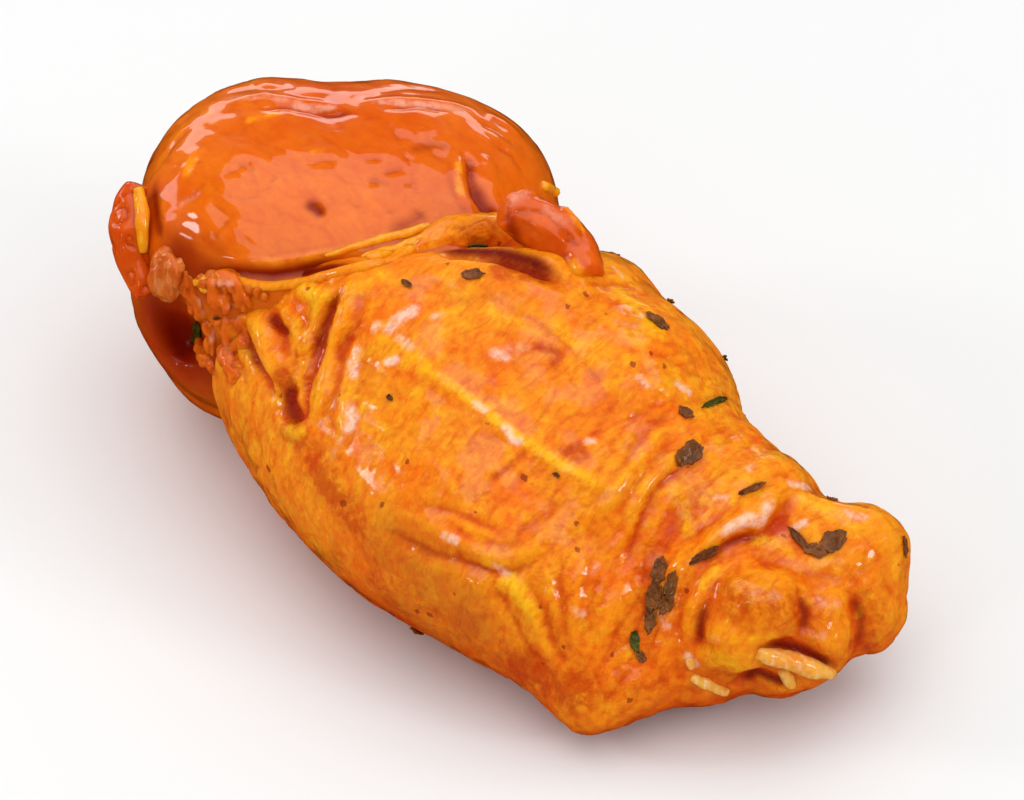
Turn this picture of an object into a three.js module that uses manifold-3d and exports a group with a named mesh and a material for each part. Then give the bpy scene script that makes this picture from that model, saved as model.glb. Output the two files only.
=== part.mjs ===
// A raw chicken wing drumette in a herb marinade: the first joint of the wing, from the shoulder cut to the elbow,
// lying on its side. Millimetres, +Z up. X runs along the bone from the shoulder to the elbow, and Y across it.
// The origin is on the surface that the meat lies on, under the middle of its box.
import * as THREE from "three";
import Module from "manifold-3d";
import { mergeVertices } from "three/addons/utils/BufferGeometryUtils.js";
import { ParametricGeometry } from "three/addons/geometries/ParametricGeometry.js";

const wasm = await Module();
wasm.setup();

const V = (x, y, z) => new THREE.Vector3(x, y, z);
const { clamp, degToRad, lerp } = THREE.MathUtils;

// The flesh on the bone: points along the bone from the shoulder to the elbow, and how thick the meat is round each.
const boneLine = [V(-15, -2, 14), V(1, -1, 14.8), V(9, -0.2, 14.4), V(16, -0.6, 13), V(25, 1.6, 11.8), V(33, 3, 11)];
const fleshRadius = [14.4, 15, 13.3, 10.6, 8, 5.4];

// The belly of the biceps, which hangs towards the front, and the line of fat along its upper edge.
const belly = { at: V(0, -9.6, 11.8), half: V(25, 13.6, 12.4), turn: -9 };
const fatRidge = { line: [V(-9, -8.6, 22.6), V(5, -8.6, 20.4), V(17, -7.4, 18)], radius: 5 };

// The loose web of skin that is drawn to a point between the belly and the elbow.
const web = { from: V(12, -13, 9.5), tip: V(25.6, -16.4, 4.6), elbow: V(32, -4, 9), thickness: 6 };

// The elbow: the bosses of the knuckle, and the rim of skin drawn up round it.
const knuckleBosses = [
  { at: V(32.8, -4.8, 11.8), radius: 5 },
  { at: V(35.4, -0.8, 8.6), radius: 4.6 },
  { at: V(34.4, 7, 11.8), radius: 4.5 },
  { at: V(35.6, 5.4, 8.2), radius: 4.5 },
  { at: V(31.6, 3.2, 13), radius: 4.4 },
  { at: V(30.5, -6.6, 6), radius: 3.7 },
  { at: V(34.4, -3.2, 6.4), radius: 3.4 },
];
const elbowRim = {
  line: [V(27, 3.6, 16.4), V(28, -1, 17.6), V(28.2, -6.6, 15), V(28.4, -9, 10), V(28.6, -9, 4.5)],
  radius: 2,
};

// The bare muscle of the shoulder, a rounded block across the thick end, and the darker muscle under it.
const shoulderMuscle = { at: V(-20.6, -0.2, 17), half: V(18.6, 14.6, 13.5), turn: 38, squareness: 2.8 };
const underMuscle = { at: V(-22, 0, 8.8), half: V(17, 13.4, 9.6), turn: 45, squareness: 2 };

// The skin ends at a slanting cut through these points, and the shoulder muscle comes out beyond it.
const skinCut = [V(-28, -14, 18), V(-6.8, -6.4, 29.6), V(0.4, 4.6, 27.6)];

// The thick cut edge of the skin, rolled against the muscle, and the nub of meat at its far end.
const skinRoll = {
  line: [
    V(-24, -14, 20),
    V(-19.5, -14, 24),
    V(-11.8, -11.6, 27),
    V(-6.8, -6.4, 29.6),
    V(-4.6, -1.2, 30.8),
    V(-2.4, 3, 30),
    V(0.4, 4.6, 27.6),
  ],
  radius: 1.9,
};
const meatNub = { line: [V(-4.6, 2.6, 27.6), V(-0.5, 5.4, 27.4), V(3, 7.8, 24.6)], radius: 3.6 };

// Scraps at the near end: a hanging strip of dark meat, the end of a tendon, and two folds under the skin's edge.
const scraps = [
  { line: [V(-37.6, -5.6, 17), V(-37, -8.2, 12.5), V(-34.4, -8.6, 7)], radius: 3.4 },
  { line: [V(-31.5, -11.6, 15.5), V(-29, -12.6, 11.5)], radius: 2.8 },
  { line: [V(-24, -12.4, 19), V(-22, -13.8, 15), V(-20, -14.8, 12)], radius: 3 },
  { line: [V(-20, -13.4, 21.5), V(-17, -15.4, 17.5), V(-15.6, -16.6, 13)], radius: 3 },
];

// Slivers of cartilage on the cut face of the elbow, laid on its surface.
const slivers = [
  { line: [V(31.6, -10.4, 5), V(34, -8.2, 3.6)], radius: 1 },
  { line: [V(37.4, -6, 8), V(39.6, -2.8, 6.6)], radius: 1.2 },
  { line: [V(36.6, -5, 4.6), V(38.2, -2.6, 4.2)], radius: 0.9 },
];

// Leaves of dried herb stuck to the skin, each from tip to tip, with its width.
const leaves = [
  { from: V(-1.8, -5.5, 28.9), to: V(1, -4.1, 29.4), width: 1.4 },
  { from: V(11, 4.5, 26.7), to: V(13.4, 5.1, 25.7), width: 1.2 },
  { from: V(18.5, 0.5, 23.6), to: V(20.2, 0.5, 22.6), width: 1.1 },
  { from: V(19.4, 2.2, 22.7), to: V(18.7, 5.9, 21.2), width: 0.9 },
  { from: V(22.7, -2.8, 20.9), to: V(22.5, 0.4, 21.3), width: 2 },
  { from: V(26.9, -8.4, 16.1), to: V(27.7, -11.8, 11.8), width: 2.8 },
  { from: V(29.1, -7.5, 16.5), to: V(29.7, -5.1, 17.4), width: 1 },
  { from: V(27.4, -13.2, 10.8), to: V(29.3, -13.8, 8.7), width: 1 },
  { from: V(33.3, 0.8, 16.8), to: V(35.2, 1, 15.8), width: 1.2 },
  { from: V(35.2, 1, 15.8), to: V(35.5, 4.6, 16.2), width: 1.7 },
];
const leafThickness = 0.9;

// How finely each surface is divided.
const skinGrid = { sides: 64, shoulderRings: 6, middleRings: 32, elbowRings: 16, evenings: 20 };
const muscleGrid = { sides: 44, rings: 26 };
const underGrid = { sides: 32, rings: 20 };

// Each shape below is a field: a function that gives a point's distance from the shape, negative inside it.

function ellipsoid({ at, half, turn }) {
  const toLocal = new THREE.Matrix4().makeRotationZ(degToRad(turn)).setPosition(at).invert();
  return (point) => {
    const local = point.clone().applyMatrix4(toLocal).divide(half);
    const reach = local.length();
    return (reach * (reach - 1)) / Math.max(local.divide(half).length(), 1e-6);
  };
}

function ball({ at, radius }) {
  return (point) => point.distanceTo(at) - radius;
}

function strand(line, radii) {
  const stretches = line.slice(1).map((end, i) => new THREE.Line3(line[i], end));
  const nearest = V(0, 0, 0);
  const distances = (point) =>
    stretches.map((stretch, i) => {
      const t = stretch.closestPointToPointParameter(point, true);
      return point.distanceTo(stretch.at(t, nearest)) - lerp(radii[i], radii[i + 1], t);
    });
  return (point) => Math.min(...distances(point));
}

function plate({ from, tip, elbow, thickness }) {
  const triangle = new THREE.Triangle(from, tip, elbow);
  const nearest = V(0, 0, 0);
  return (point) => point.distanceTo(triangle.closestPointToPoint(point, nearest)) - thickness / 2;
}

function smoothUnion(a, b, blend) {
  const near = Math.max(blend - Math.abs(a - b), 0) / blend;
  return Math.min(a, b) - (near * near * blend) / 4;
}

const even = ({ line, radius }) => strand(line, new Array(line.length).fill(radius));

// What the skin is drawn over, with how softly it bridges from each to the rest, and the cut where it ends.
const lobes = [
  { field: strand(boneLine, fleshRadius), blend: 1 },
  { field: ellipsoid(belly), blend: 5 },
  { field: even(fatRidge), blend: 3 },
  { field: plate(web), blend: 8 },
  { field: even(elbowRim), blend: 2.5 },
  ...knuckleBosses.map((boss) => ({ field: ball(boss), blend: 1.6 })),
];
const cutPlane = new THREE.Plane().setFromCoplanarPoints(...skinCut);
const cutBlend = 2;

function skinField(point) {
  const whole = lobes.reduce((sum, lobe) => smoothUnion(sum, lobe.field(point), lobe.blend), Infinity);
  return -smoothUnion(-whole, -cutPlane.distanceToPoint(point), cutBlend);
}

function slope(field, point) {
  const step = 0.02;
  const here = field(point);
  const rise = (x, y, z) => (field(point.clone().add(V(x, y, z))) - here) / step;
  return V(rise(step, 0, 0), rise(0, step, 0), rise(0, 0, step));
}

function pulledOnto(field, point) {
  const pulled = point.clone();
  for (let pull = 0; pull < 3; pull++) {
    const rise = slope(field, pulled);
    pulled.addScaledVector(rise, -field(pulled) / Math.max(rise.lengthSq(), 0.1));
  }
  return pulled;
}

// The skin is met by rays from inside: straight across the middle of the wing, and fanned out over both ends.
const core = new THREE.CatmullRomCurve3([
  V(-15, -5, 13),
  V(2, -5, 13),
  V(15, -6, 11.5),
  V(24, -5, 10),
  V(31, -1, 10),
]);
const rings = skinGrid.shoulderRings + skinGrid.middleRings + skinGrid.elbowRings;

function skinPoint(u, v, target) {
  const ring = v * rings;
  const shoulderTurn = Math.max(1 - ring / skinGrid.shoulderRings, 0);
  const elbowTurn = Math.max(1 - (rings - ring) / skinGrid.elbowRings, 0);
  const tilt = (Math.PI / 2) * (1 + shoulderTurn - elbowTurn);
  const around = u * 2 * Math.PI;
  const along = clamp((ring - skinGrid.shoulderRings) / skinGrid.middleRings, 0, 1);
  const origin = core.getPoint(along);
  const forward = core.getTangent(along);
  const side = V(0, 1, 0).addScaledVector(forward, -forward.y).normalize();
  const up = forward.clone().cross(side);
  const ray = forward.clone().multiplyScalar(Math.cos(tilt));
  ray.addScaledVector(side, Math.cos(around) * Math.sin(tilt));
  ray.addScaledVector(up, Math.sin(around) * Math.sin(tilt));
  const at = (distance) => target.copy(origin).addScaledVector(ray, distance);
  const stride = 0.5;
  let inside = 0;
  while (skinField(at(inside + stride)) < 0) inside += stride;
  let outside = inside + stride;
  for (let halving = 0; halving < 14; halving++) {
    const middle = (inside + outside) / 2;
    if (skinField(at(middle)) < 0) inside = middle;
    else outside = middle;
  }
  at(inside);
}

// The same surface with its points shared, and without the faces that shrink to a line at a pole.
function joined(geometry) {
  const bare = geometry.clone();
  bare.deleteAttribute("normal");
  bare.deleteAttribute("uv");
  const merged = mergeVertices(bare, 1e-4);
  const index = merged.index.array;
  const kept = [];
  for (let i = 0; i < index.length; i += 3) {
    const [a, b, c] = index.slice(i, i + 3);
    if (a !== b && b !== c && c !== a) kept.push(a, b, c);
  }
  merged.setIndex(kept);
  return merged;
}

// Spreads a closed surface's points evenly over a field, by moving each towards the middle of its neighbours.
function evened(geometry, field, times) {
  const position = geometry.attributes.position;
  const index = geometry.index.array;
  const neighbours = Array.from({ length: position.count }, () => new Set());
  for (let i = 0; i < index.length; i += 3) {
    for (let corner = 0; corner < 3; corner++) {
      const a = index[i + corner];
      const b = index[i + ((corner + 1) % 3)];
      neighbours[a].add(b);
      neighbours[b].add(a);
    }
  }
  const point = (i) => V(0, 0, 0).fromBufferAttribute(position, i);
  for (let time = 0; time < times; time++) {
    const moved = neighbours.map((around, i) => {
      const middle = [...around].reduce((sum, j) => sum.add(point(j)), V(0, 0, 0)).divideScalar(around.size);
      return pulledOnto(field, point(i).lerp(middle, 0.6));
    });
    moved.forEach(({ x, y, z }, i) => position.setXYZ(i, x, y, z));
  }
  return geometry;
}

function toSolid(geometry) {
  return new wasm.Manifold(
    new wasm.Mesh({
      numProp: 3,
      vertProperties: geometry.attributes.position.array,
      triVerts: new Uint32Array(geometry.index.array),
    }),
  );
}

function toGeometry(solid) {
  const mesh = solid.getMesh();
  const geometry = new THREE.BufferGeometry();
  geometry.setAttribute("position", new THREE.BufferAttribute(mesh.vertProperties, 3));
  geometry.setIndex(new THREE.BufferAttribute(mesh.triVerts, 1));
  geometry.computeVertexNormals();
  return geometry;
}

function skin() {
  const shot = joined(new ParametricGeometry(skinPoint, skinGrid.sides, rings));
  return toSolid(evened(shot, skinField, skinGrid.evenings));
}

// A ball pushed out towards its box: the squarer, the flatter its sides.
function muscle({ at, half, turn, squareness }, grid) {
  const geometry = new THREE.SphereGeometry(1, grid.sides, grid.rings);
  const position = geometry.attributes.position;
  const point = V(0, 0, 0);
  for (let i = 0; i < position.count; i++) {
    point.fromBufferAttribute(position, i).normalize();
    const sum = point.toArray().reduce((all, part) => all + Math.abs(part) ** squareness, 0);
    point.multiplyScalar(sum ** (-1 / squareness)).multiply(half);
    position.setXYZ(i, point.x, point.y, point.z);
  }
  geometry.rotateZ(degToRad(turn));
  geometry.translate(at.x, at.y, at.z);
  return toSolid(joined(geometry));
}

// A round strip along a line, with closed, rounded ends.
function strip({ line, radius }, sides, steps) {
  const curve = new THREE.CatmullRomCurve3(line);
  const frames = curve.computeFrenetFrames(steps);
  const bluntness = 8;
  const surface = (u, v, target) => {
    const step = Math.round(v * steps);
    const around = u * 2 * Math.PI;
    const reach = radius * Math.sqrt(Math.max(1 - Math.abs(2 * v - 1) ** bluntness, 0));
    curve.getPointAt(v, target);
    target.addScaledVector(frames.normals[step], Math.cos(around) * reach);
    target.addScaledVector(frames.binormals[step], Math.sin(around) * reach);
  };
  return toSolid(joined(new ParametricGeometry(surface, sides, steps)));
}

function sliver({ line, radius }) {
  return strip({ line: line.map((point) => pulledOnto(skinField, point)), radius }, 8, 6);
}

// A thin oval that follows the skin under it, half sunk in it.
function leaf({ from, to, width }) {
  const geometry = new THREE.SphereGeometry(1, 8, 4);
  const position = geometry.attributes.position;
  const middle = from.clone().lerp(to, 0.5);
  const halfLength = to.clone().sub(from).divideScalar(2);
  const outward = slope(skinField, middle).normalize();
  const halfWidth = outward.clone().cross(halfLength).normalize().multiplyScalar(width / 2);
  for (let i = 0; i < position.count; i++) {
    const [along, out, across] = V(0, 0, 0).fromBufferAttribute(position, i).toArray();
    const flat = middle.clone().addScaledVector(halfLength, along).addScaledVector(halfWidth, -across);
    const point = pulledOnto(skinField, flat);
    point.addScaledVector(slope(skinField, point).normalize(), (out * leafThickness) / 2);
    position.setXYZ(i, point.x, point.y, point.z);
  }
  return toSolid(joined(geometry));
}

// What is below the surface that the meat lies on, cut away to leave the flat spots that it rests on.
function tableTop() {
  const [wide, deep] = [200, 40];
  const geometry = new THREE.BoxGeometry(wide, wide, deep);
  geometry.translate(0, 0, -deep / 2);
  return toSolid(joined(geometry));
}

const whole = [
  muscle(shoulderMuscle, muscleGrid),
  muscle(underMuscle, underGrid),
  strip(skinRoll, 10, 28),
  strip(meatNub, 14, 12),
  ...scraps.map((scrap) => strip(scrap, 12, 12)),
  ...slivers.map(sliver),
  ...leaves.map(leaf),
].reduce((sum, piece) => sum.add(piece), skin());

const geometry = toGeometry(whole.subtract(tableTop()));
const marinade = new THREE.MeshStandardMaterial({ color: 0xe8741c, roughness: 0.35, metalness: 0 });
const wing = new THREE.Mesh(geometry, marinade);
wing.name = "wing";
const box = new THREE.Box3().setFromObject(wing);
const middle = box.getCenter(V(0, 0, 0));
wing.position.set(-middle.x, -middle.y, -box.min.z);

const drumette = new THREE.Group();
drumette.add(wing);

export default drumette;
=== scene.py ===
# %% [markdown]
# # A raw chicken wing drumette in a herb marinade
#
# A drumette is the first joint of the wing: a thick end with bare shoulder meat, a plump middle under wet,
# stretched skin, and the knobbly cut end of the elbow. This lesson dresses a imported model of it. The packed
# model gives the true shape and place, and is loaded first as a fixed frame. Everything that is seen is then
# modelled around it.

import math
import random

import bpy
import numpy as np
from mathutils import Matrix, Vector, noise
from mathutils.bvhtree import BVHTree


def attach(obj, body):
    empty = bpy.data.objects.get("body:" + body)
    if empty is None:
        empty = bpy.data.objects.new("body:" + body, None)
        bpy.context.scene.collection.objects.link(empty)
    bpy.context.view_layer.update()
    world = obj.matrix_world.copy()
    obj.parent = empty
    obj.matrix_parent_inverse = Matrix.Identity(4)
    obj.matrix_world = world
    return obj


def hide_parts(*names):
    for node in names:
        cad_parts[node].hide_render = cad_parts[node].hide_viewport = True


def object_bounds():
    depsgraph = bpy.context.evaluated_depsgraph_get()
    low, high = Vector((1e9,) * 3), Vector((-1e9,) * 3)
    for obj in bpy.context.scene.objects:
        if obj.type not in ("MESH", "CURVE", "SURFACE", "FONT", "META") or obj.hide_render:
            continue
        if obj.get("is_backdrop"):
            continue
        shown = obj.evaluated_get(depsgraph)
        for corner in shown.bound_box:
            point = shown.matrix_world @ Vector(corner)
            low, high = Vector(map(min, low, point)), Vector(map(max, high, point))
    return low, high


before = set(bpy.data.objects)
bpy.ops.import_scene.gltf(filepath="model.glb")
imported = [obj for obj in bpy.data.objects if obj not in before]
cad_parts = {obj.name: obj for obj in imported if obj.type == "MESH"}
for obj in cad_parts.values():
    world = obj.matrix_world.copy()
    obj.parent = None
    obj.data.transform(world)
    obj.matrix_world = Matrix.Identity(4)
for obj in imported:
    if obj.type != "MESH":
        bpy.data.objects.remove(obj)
cad_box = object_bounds()
print("the packed part measures", [round(high - low, 4) for low, high in zip(*cad_box)], "metres")

# %% [markdown]
# ## Measures
#
# Blender works in metres, but meat this small is easier to think of in millimetres. The shapes below are
# written in millimetres on the drawing's axes: X along the bone from the shoulder to the elbow, Y across it,
# Z up from the table. The part's own axes start under the middle of its box, so each point is shifted a
# little and scaled on its way in.

# %% Between the drawing's millimetres and the part's metres
MM = 0.001
SHIFT = np.array([0.353, 2.944, 0.0])


def to_frame(points):
    return (np.asarray(points, float) + SHIFT) * MM


def to_drawing(points):
    return np.asarray(points, float) / MM - SHIFT


print("the drawing's own middle lies at", to_frame((0, 0, 0)), "in the part")

# %% [markdown]
# ## The camera
#
# The piece was photographed from above its front corner with a long lens, so it looks nearly flat. The camera
# stands a metre away and sees only a small window of the photograph. Its line of sight through a pixel of the
# photograph is kept as a helper, because folds and leaves are easiest to place where the photograph shows
# them. Each is then put on the surface that the line of sight meets, so it sits right from every side.

# %% Put up the camera
AZIMUTH, ELEVATION = math.radians(45), math.radians(41)
DISTANCE, LENS, SENSOR = 0.96, 391, 36
PICTURE = (1024, 800)
WINDOW_CORNER, WINDOW_WIDTH = (161, 306), 290
AIM = Vector((1.69, 1.17, 14.47)) * MM

right = Vector((math.cos(AZIMUTH), math.sin(AZIMUTH), 0))
level_share = math.cos(ELEVATION)
back = Vector((math.sin(AZIMUTH) * level_share, -math.cos(AZIMUTH) * level_share, math.sin(ELEVATION)))
up = back.cross(right)
camera_turn = Matrix((right, up, back)).transposed()

bpy.ops.object.camera_add(location=AIM + back * DISTANCE, rotation=camera_turn.to_euler())
camera = bpy.context.object
camera.data.lens = LENS
camera.data.sensor_width = SENSOR
camera.data.clip_end = 20
bpy.context.scene.camera = camera


def sight(across, down):
    """The direction in which the camera sees a pixel of the photograph."""
    middle = WINDOW_WIDTH / 2, WINDOW_WIDTH / 2 * PICTURE[1] / PICTURE[0]
    x = (across - WINDOW_CORNER[0] - middle[0]) / WINDOW_WIDTH * SENSOR / LENS
    y = (down - WINDOW_CORNER[1] - middle[1]) / WINDOW_WIDTH * SENSOR / LENS
    return (right * x - up * y - back).normalized()


print("the camera stands at", [round(c, 3) for c in camera.location])

# %% [markdown]
# ## The studio
#
# Wet meat shows its lights as clearly as its own colour. A very wide soft panel hangs overhead, which lies as
# a broad patch on the shoulder. Low panels behind and beside it edge the meat, and three small, bright ones
# break into glints on the wet skin. The floor and the world light the meat too, but are kept out of its
# reflections, where they would lay a grey veil over its colours.

# %% Lay the floor
FLOOR_RADIUS, FLOOR_RISE = 1.6, 0.9
MIDDLE_RING, OUTER_RING = 0.6, 0.9
# the floor's edge is drawn up in steps, each with its share of the rise and how much wider it gets
FLOOR_STEPS = ((0.25, 1.3), (0.75, 1.15))


def only(obj):
    """Deselects everything else, and makes the object the active one."""
    bpy.ops.object.select_all(action="DESELECT")
    obj.select_set(True)
    bpy.context.view_layer.objects.active = obj


bpy.ops.object.select_all(action="DESELECT")
bpy.ops.mesh.primitive_circle_add(vertices=96, radius=FLOOR_RADIUS, fill_type="NGON", location=(0, 0, 0))
floor = bpy.context.object
floor.name = "floor"
bpy.ops.object.mode_set(mode="EDIT")
bpy.ops.mesh.select_all(action="SELECT")
bpy.ops.mesh.inset(thickness=FLOOR_RADIUS * (1 - MIDDLE_RING))
bpy.ops.mesh.select_all(action="DESELECT")
bpy.ops.object.mode_set(mode="OBJECT")
for vertex in floor.data.vertices:
    vertex.select = vertex.co.to_2d().length > FLOOR_RADIUS * OUTER_RING
bpy.ops.object.mode_set(mode="EDIT")
for rise_share, widening in FLOOR_STEPS:
    bpy.ops.mesh.extrude_region_move(TRANSFORM_OT_translate={"value": (0, 0, FLOOR_RISE * rise_share)})
    bpy.ops.transform.resize(value=(widening, widening, 1))
bpy.ops.object.mode_set(mode="OBJECT")
bpy.ops.object.shade_smooth()
floor.visible_glossy = False
floor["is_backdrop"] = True
print("the floor is level for", FLOOR_RADIUS, "metres round the piece")

# %% Hang the lights
LIGHTS = [
    # name, metres across the picture, away from the camera and up, width, height, brightness
    ("overhead_panel", 0.18, -0.12, 1.2, 2.05, 2.4, 1.4),
    ("back_panel", -0.1, 1.3, 0.3, 1.5, 0.34, 2.2),
    ("side_panel", -1.15, 0.62, 0.3, 0.5, 0.5, 2.6),
    ("left_panel", -0.78, 0, 0.4, 0.2, 0.16, 12),
    ("right_panel", 0.74, -0.36, 0.36, 0.2, 0.16, 13),
    ("front_panel", -0.5, -0.65, 0.32, 0.12, 0.1, 12),
]
# a light that tilts by less than this, in radians, hangs level
NEARLY_OVERHEAD = 0.3

for name, across, away, height_up, width, height, brightness in LIGHTS:
    tilt, turn = math.atan2(math.hypot(across, away), height_up), math.atan2(across, -away)
    if tilt < NEARLY_OVERHEAD:
        tilt = turn = 0
    place = AIM + right * across + Vector((-right.y, right.x, 0)) * away + Vector((0, 0, height_up))
    bpy.ops.object.light_add(type="AREA", location=place, rotation=(tilt, 0, AZIMUTH + turn))
    light = bpy.context.object
    light.name = name
    light.data.shape = "RECTANGLE"
    light.data.size, light.data.size_y = width, height
    light.data.energy = brightness * math.pi * width * height
print("hung", len(LIGHTS), "lights")

# %% Light the room
WORLD_COLOUR, WORLD_BRIGHTNESS = (0.9, 0.95, 1, 1), 0.3

world = bpy.data.worlds.new("studio")
bpy.context.scene.world = world
world.use_nodes = True
sky = world.node_tree.nodes["Background"].inputs
sky["Color"].default_value = WORLD_COLOUR
sky["Strength"].default_value = WORLD_BRIGHTNESS
world.cycles_visibility.glossy = False
bpy.context.scene.view_settings.view_transform = "Standard"
print("the room adds", WORLD_BRIGHTNESS, "of a pale blue light from all round")

# %% [markdown]
# ## The forms under the skin
#
# The skin is drawn over several lumps of meat and bone: the flesh round the bone, the belly of the biceps, a
# line of fat, the knuckles of the elbow, and a loose web between them. Each lump is written as a distance:
# how far a point is from its surface, and less than zero inside. Two distances can be joined softly, so that
# the skin bridges the dip between two lumps as real skin does.

# %% Distances from the forms
BONE_LINE = [(-15, -2, 14), (1, -1, 14.8), (9, -0.2, 14.4), (16, -0.6, 13), (25, 1.6, 11.8), (33, 3, 11)]
FLESH_RADIUS = [14.4, 15, 13.3, 10.6, 8, 5.4]
BELLY_MIDDLE, BELLY_HALF, BELLY_TURN = (0, -9.6, 11.8), (25, 13.6, 12.4), -9
FAT_LINE, FAT_RADIUS = [(-9, -8.6, 22.6), (5, -8.6, 20.4), (17, -7.4, 18)], 5
WEB_CORNERS, WEB_THICKNESS = [(12, -13, 9.5), (25.6, -16.4, 4.6), (32, -4, 9)], 6
RIM_LINE, RIM_RADIUS = [(27, 3.6, 16.4), (28, -1, 17.6), (28.2, -6.6, 15), (28.4, -9, 10), (28.6, -9, 4.5)], 2
KNUCKLES = [
    ((32.8, -4.8, 11.8), 5),
    ((35.4, -0.8, 8.6), 4.6),
    ((34.4, 7, 11.8), 4.5),
    ((35.6, 5.4, 8.2), 4.5),
    ((31.6, 3.2, 13), 4.4),
    ((30.5, -6.6, 6), 3.7),
    ((34.4, -3.2, 6.4), 3.4),
]
SKIN_CUT = [(-28, -14, 18), (-6.8, -6.4, 29.6), (0.4, 4.6, 27.6)]


def strand(line, radii):
    """The distance from a round strand through the points, with its own radius at each."""
    line = np.array(line, float)

    def distance(points):
        nearest = np.full(len(points), np.inf)
        for start, end, r0, r1 in zip(line[:-1], line[1:], radii[:-1], radii[1:]):
            step = end - start
            share = np.clip((points - start) @ step / (step @ step), 0, 1)
            gap = np.linalg.norm(points - start - share[:, None] * step, axis=1)
            nearest = np.minimum(nearest, gap - r0 - (r1 - r0) * share)
        return nearest

    return distance


def ellipsoid(middle, half, turn):
    """The distance from an egg shape that is turned about the vertical."""
    c, s = math.cos(math.radians(turn)), math.sin(math.radians(turn))
    to_own = np.array([[c, s, 0], [-s, c, 0], [0, 0, 1]])

    def distance(points):
        own = (points - np.array(middle)) @ to_own.T / np.array(half)
        reach = np.linalg.norm(own, axis=1)
        steepness = np.linalg.norm(own / np.array(half), axis=1)
        return reach * (reach - 1) / np.maximum(steepness, 1e-6)

    return distance


def plate(corners, thickness):
    """The distance from a three-cornered plate with round edges."""
    a, b, c = np.array(corners, float)
    normal = np.cross(b - a, c - a)
    normal /= np.linalg.norm(normal)
    edges = strand([a, b, c, a], [0, 0, 0, 0])

    def distance(points):
        over = np.ones(len(points), bool)
        for start, end in ((a, b), (b, c), (c, a)):
            over &= (points - start) @ np.cross(normal, end - start) >= 0
        return np.where(over, np.abs((points - a) @ normal), edges(points)) - thickness / 2

    return distance


def ball(middle, radius):
    return lambda points: np.linalg.norm(points - np.array(middle), axis=1) - radius


def join_softly(a, b, bridge):
    near = np.maximum(bridge - np.abs(a - b), 0) / bridge
    return np.minimum(a, b) - near * near * bridge / 4


LUMPS = [
    (ellipsoid(BELLY_MIDDLE, BELLY_HALF, BELLY_TURN), 5),
    (strand(FAT_LINE, [FAT_RADIUS] * 3), 3),
    (plate(WEB_CORNERS, WEB_THICKNESS), 8),
    (strand(RIM_LINE, [RIM_RADIUS] * 5), 2.5),
] + [(ball(middle, radius), 1.6) for middle, radius in KNUCKLES]
flesh = strand(BONE_LINE, FLESH_RADIUS)
cut_low, cut_corner, cut_high = np.array(SKIN_CUT, float)
cut_normal = np.cross(cut_high - cut_corner, cut_low - cut_corner)
cut_normal /= np.linalg.norm(cut_normal)


def skin_distance(points):
    """How far points are outside the skin, which ends at a slanting cut across the thick end."""
    whole = flesh(points)
    for lump, bridge in LUMPS:
        whole = join_softly(whole, lump(points), bridge)
    return -join_softly(-whole, -(points - cut_low) @ cut_normal, 2)


bone_depth = -skin_distance(np.array([BONE_LINE[2]]))[0]
print("the bone's middle is", round(float(bone_depth), 1), "mm under the skin")

# %% [markdown]
# ## Blocking out the skin
#
# A sculptor would start with balls of clay, press them together and smooth the joins. The same is done here:
# a ball for each lump, joined into one object, then a voxel remesh, which grows one even skin over all of
# them. The skin is cut off along a slanting plane, where the shoulder meat comes out. Then its points are
# relaxed, like a net that is pulled tight: each moves towards its neighbours and back onto the forms. That
# keeps the faces even.

# %% Modifiers and balls of clay
def modify(obj, kind, **settings):
    """Adds a modifier and applies it."""
    only(obj)
    bpy.ops.object.modifier_add(type=kind)
    modifier = obj.modifiers[-1]
    for name, value in settings.items():
        setattr(modifier, name, value)
    bpy.ops.object.modifier_apply(modifier=modifier.name)


def voxels(obj, size):
    modify(obj, "REMESH", mode="VOXEL", voxel_size=size * MM, use_smooth_shade=True)


def clay_ball(middle, radius, stretch=(1, 1, 1), turn=0):
    bpy.ops.mesh.primitive_uv_sphere_add(
        segments=32,
        ring_count=20,
        radius=radius * MM,
        location=to_frame(middle),
        rotation=(0, 0, math.radians(turn)),
        scale=stretch,
    )
    return bpy.context.object


def clay_row(line, radii, gap=1.5):
    """Balls that follow a line closely enough to grow together."""
    balls = []
    for start, end, r0, r1 in zip(line[:-1], line[1:], radii[:-1], radii[1:]):
        start, end = np.array(start, float), np.array(end, float)
        steps = max(int(np.linalg.norm(end - start) / gap), 1)
        for step in range(steps + 1):
            share = step / steps
            balls.append(clay_ball(start + (end - start) * share, r0 + (r1 - r0) * share))
    return balls


def joined(name, parts):
    """One object out of several, with its place in its mesh."""
    only(parts[0])
    for part in parts:
        part.select_set(True)
    if len(parts) > 1:
        bpy.ops.object.join()
    bpy.ops.object.transform_apply(location=True, rotation=True, scale=True)
    whole = bpy.context.object
    whole.name = whole.data.name = name
    return whole


# %% A mesh's points as rows of numbers
def points_of(obj):
    """The object's points, in the drawing's millimetres."""
    flat = np.empty(len(obj.data.vertices) * 3)
    obj.data.vertices.foreach_get("co", flat)
    return to_drawing(flat.reshape(-1, 3))


def move_points(obj, points):
    obj.data.vertices.foreach_set("co", to_frame(points).ravel())
    obj.data.update()


def normals_of(obj):
    flat = np.empty(len(obj.data.vertices) * 3)
    obj.data.vertex_normals.foreach_get("vector", flat)
    return flat.reshape(-1, 3)


def edges_of(obj):
    flat = np.empty(len(obj.data.edges) * 2, int)
    obj.data.edges.foreach_get("vertices", flat)
    return flat.reshape(-1, 2)


def neighbours_mean(values, edges):
    """For each point, the mean of its neighbours' values."""
    ends = np.concatenate([edges[:, 0], edges[:, 1]])
    others = np.concatenate([edges[:, 1], edges[:, 0]])
    count = np.maximum(np.bincount(ends, minlength=len(values)), 1)
    columns = [np.bincount(ends, values[others, i], len(values)) / count for i in range(values.shape[1])]
    return np.stack(columns, axis=1)


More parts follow.
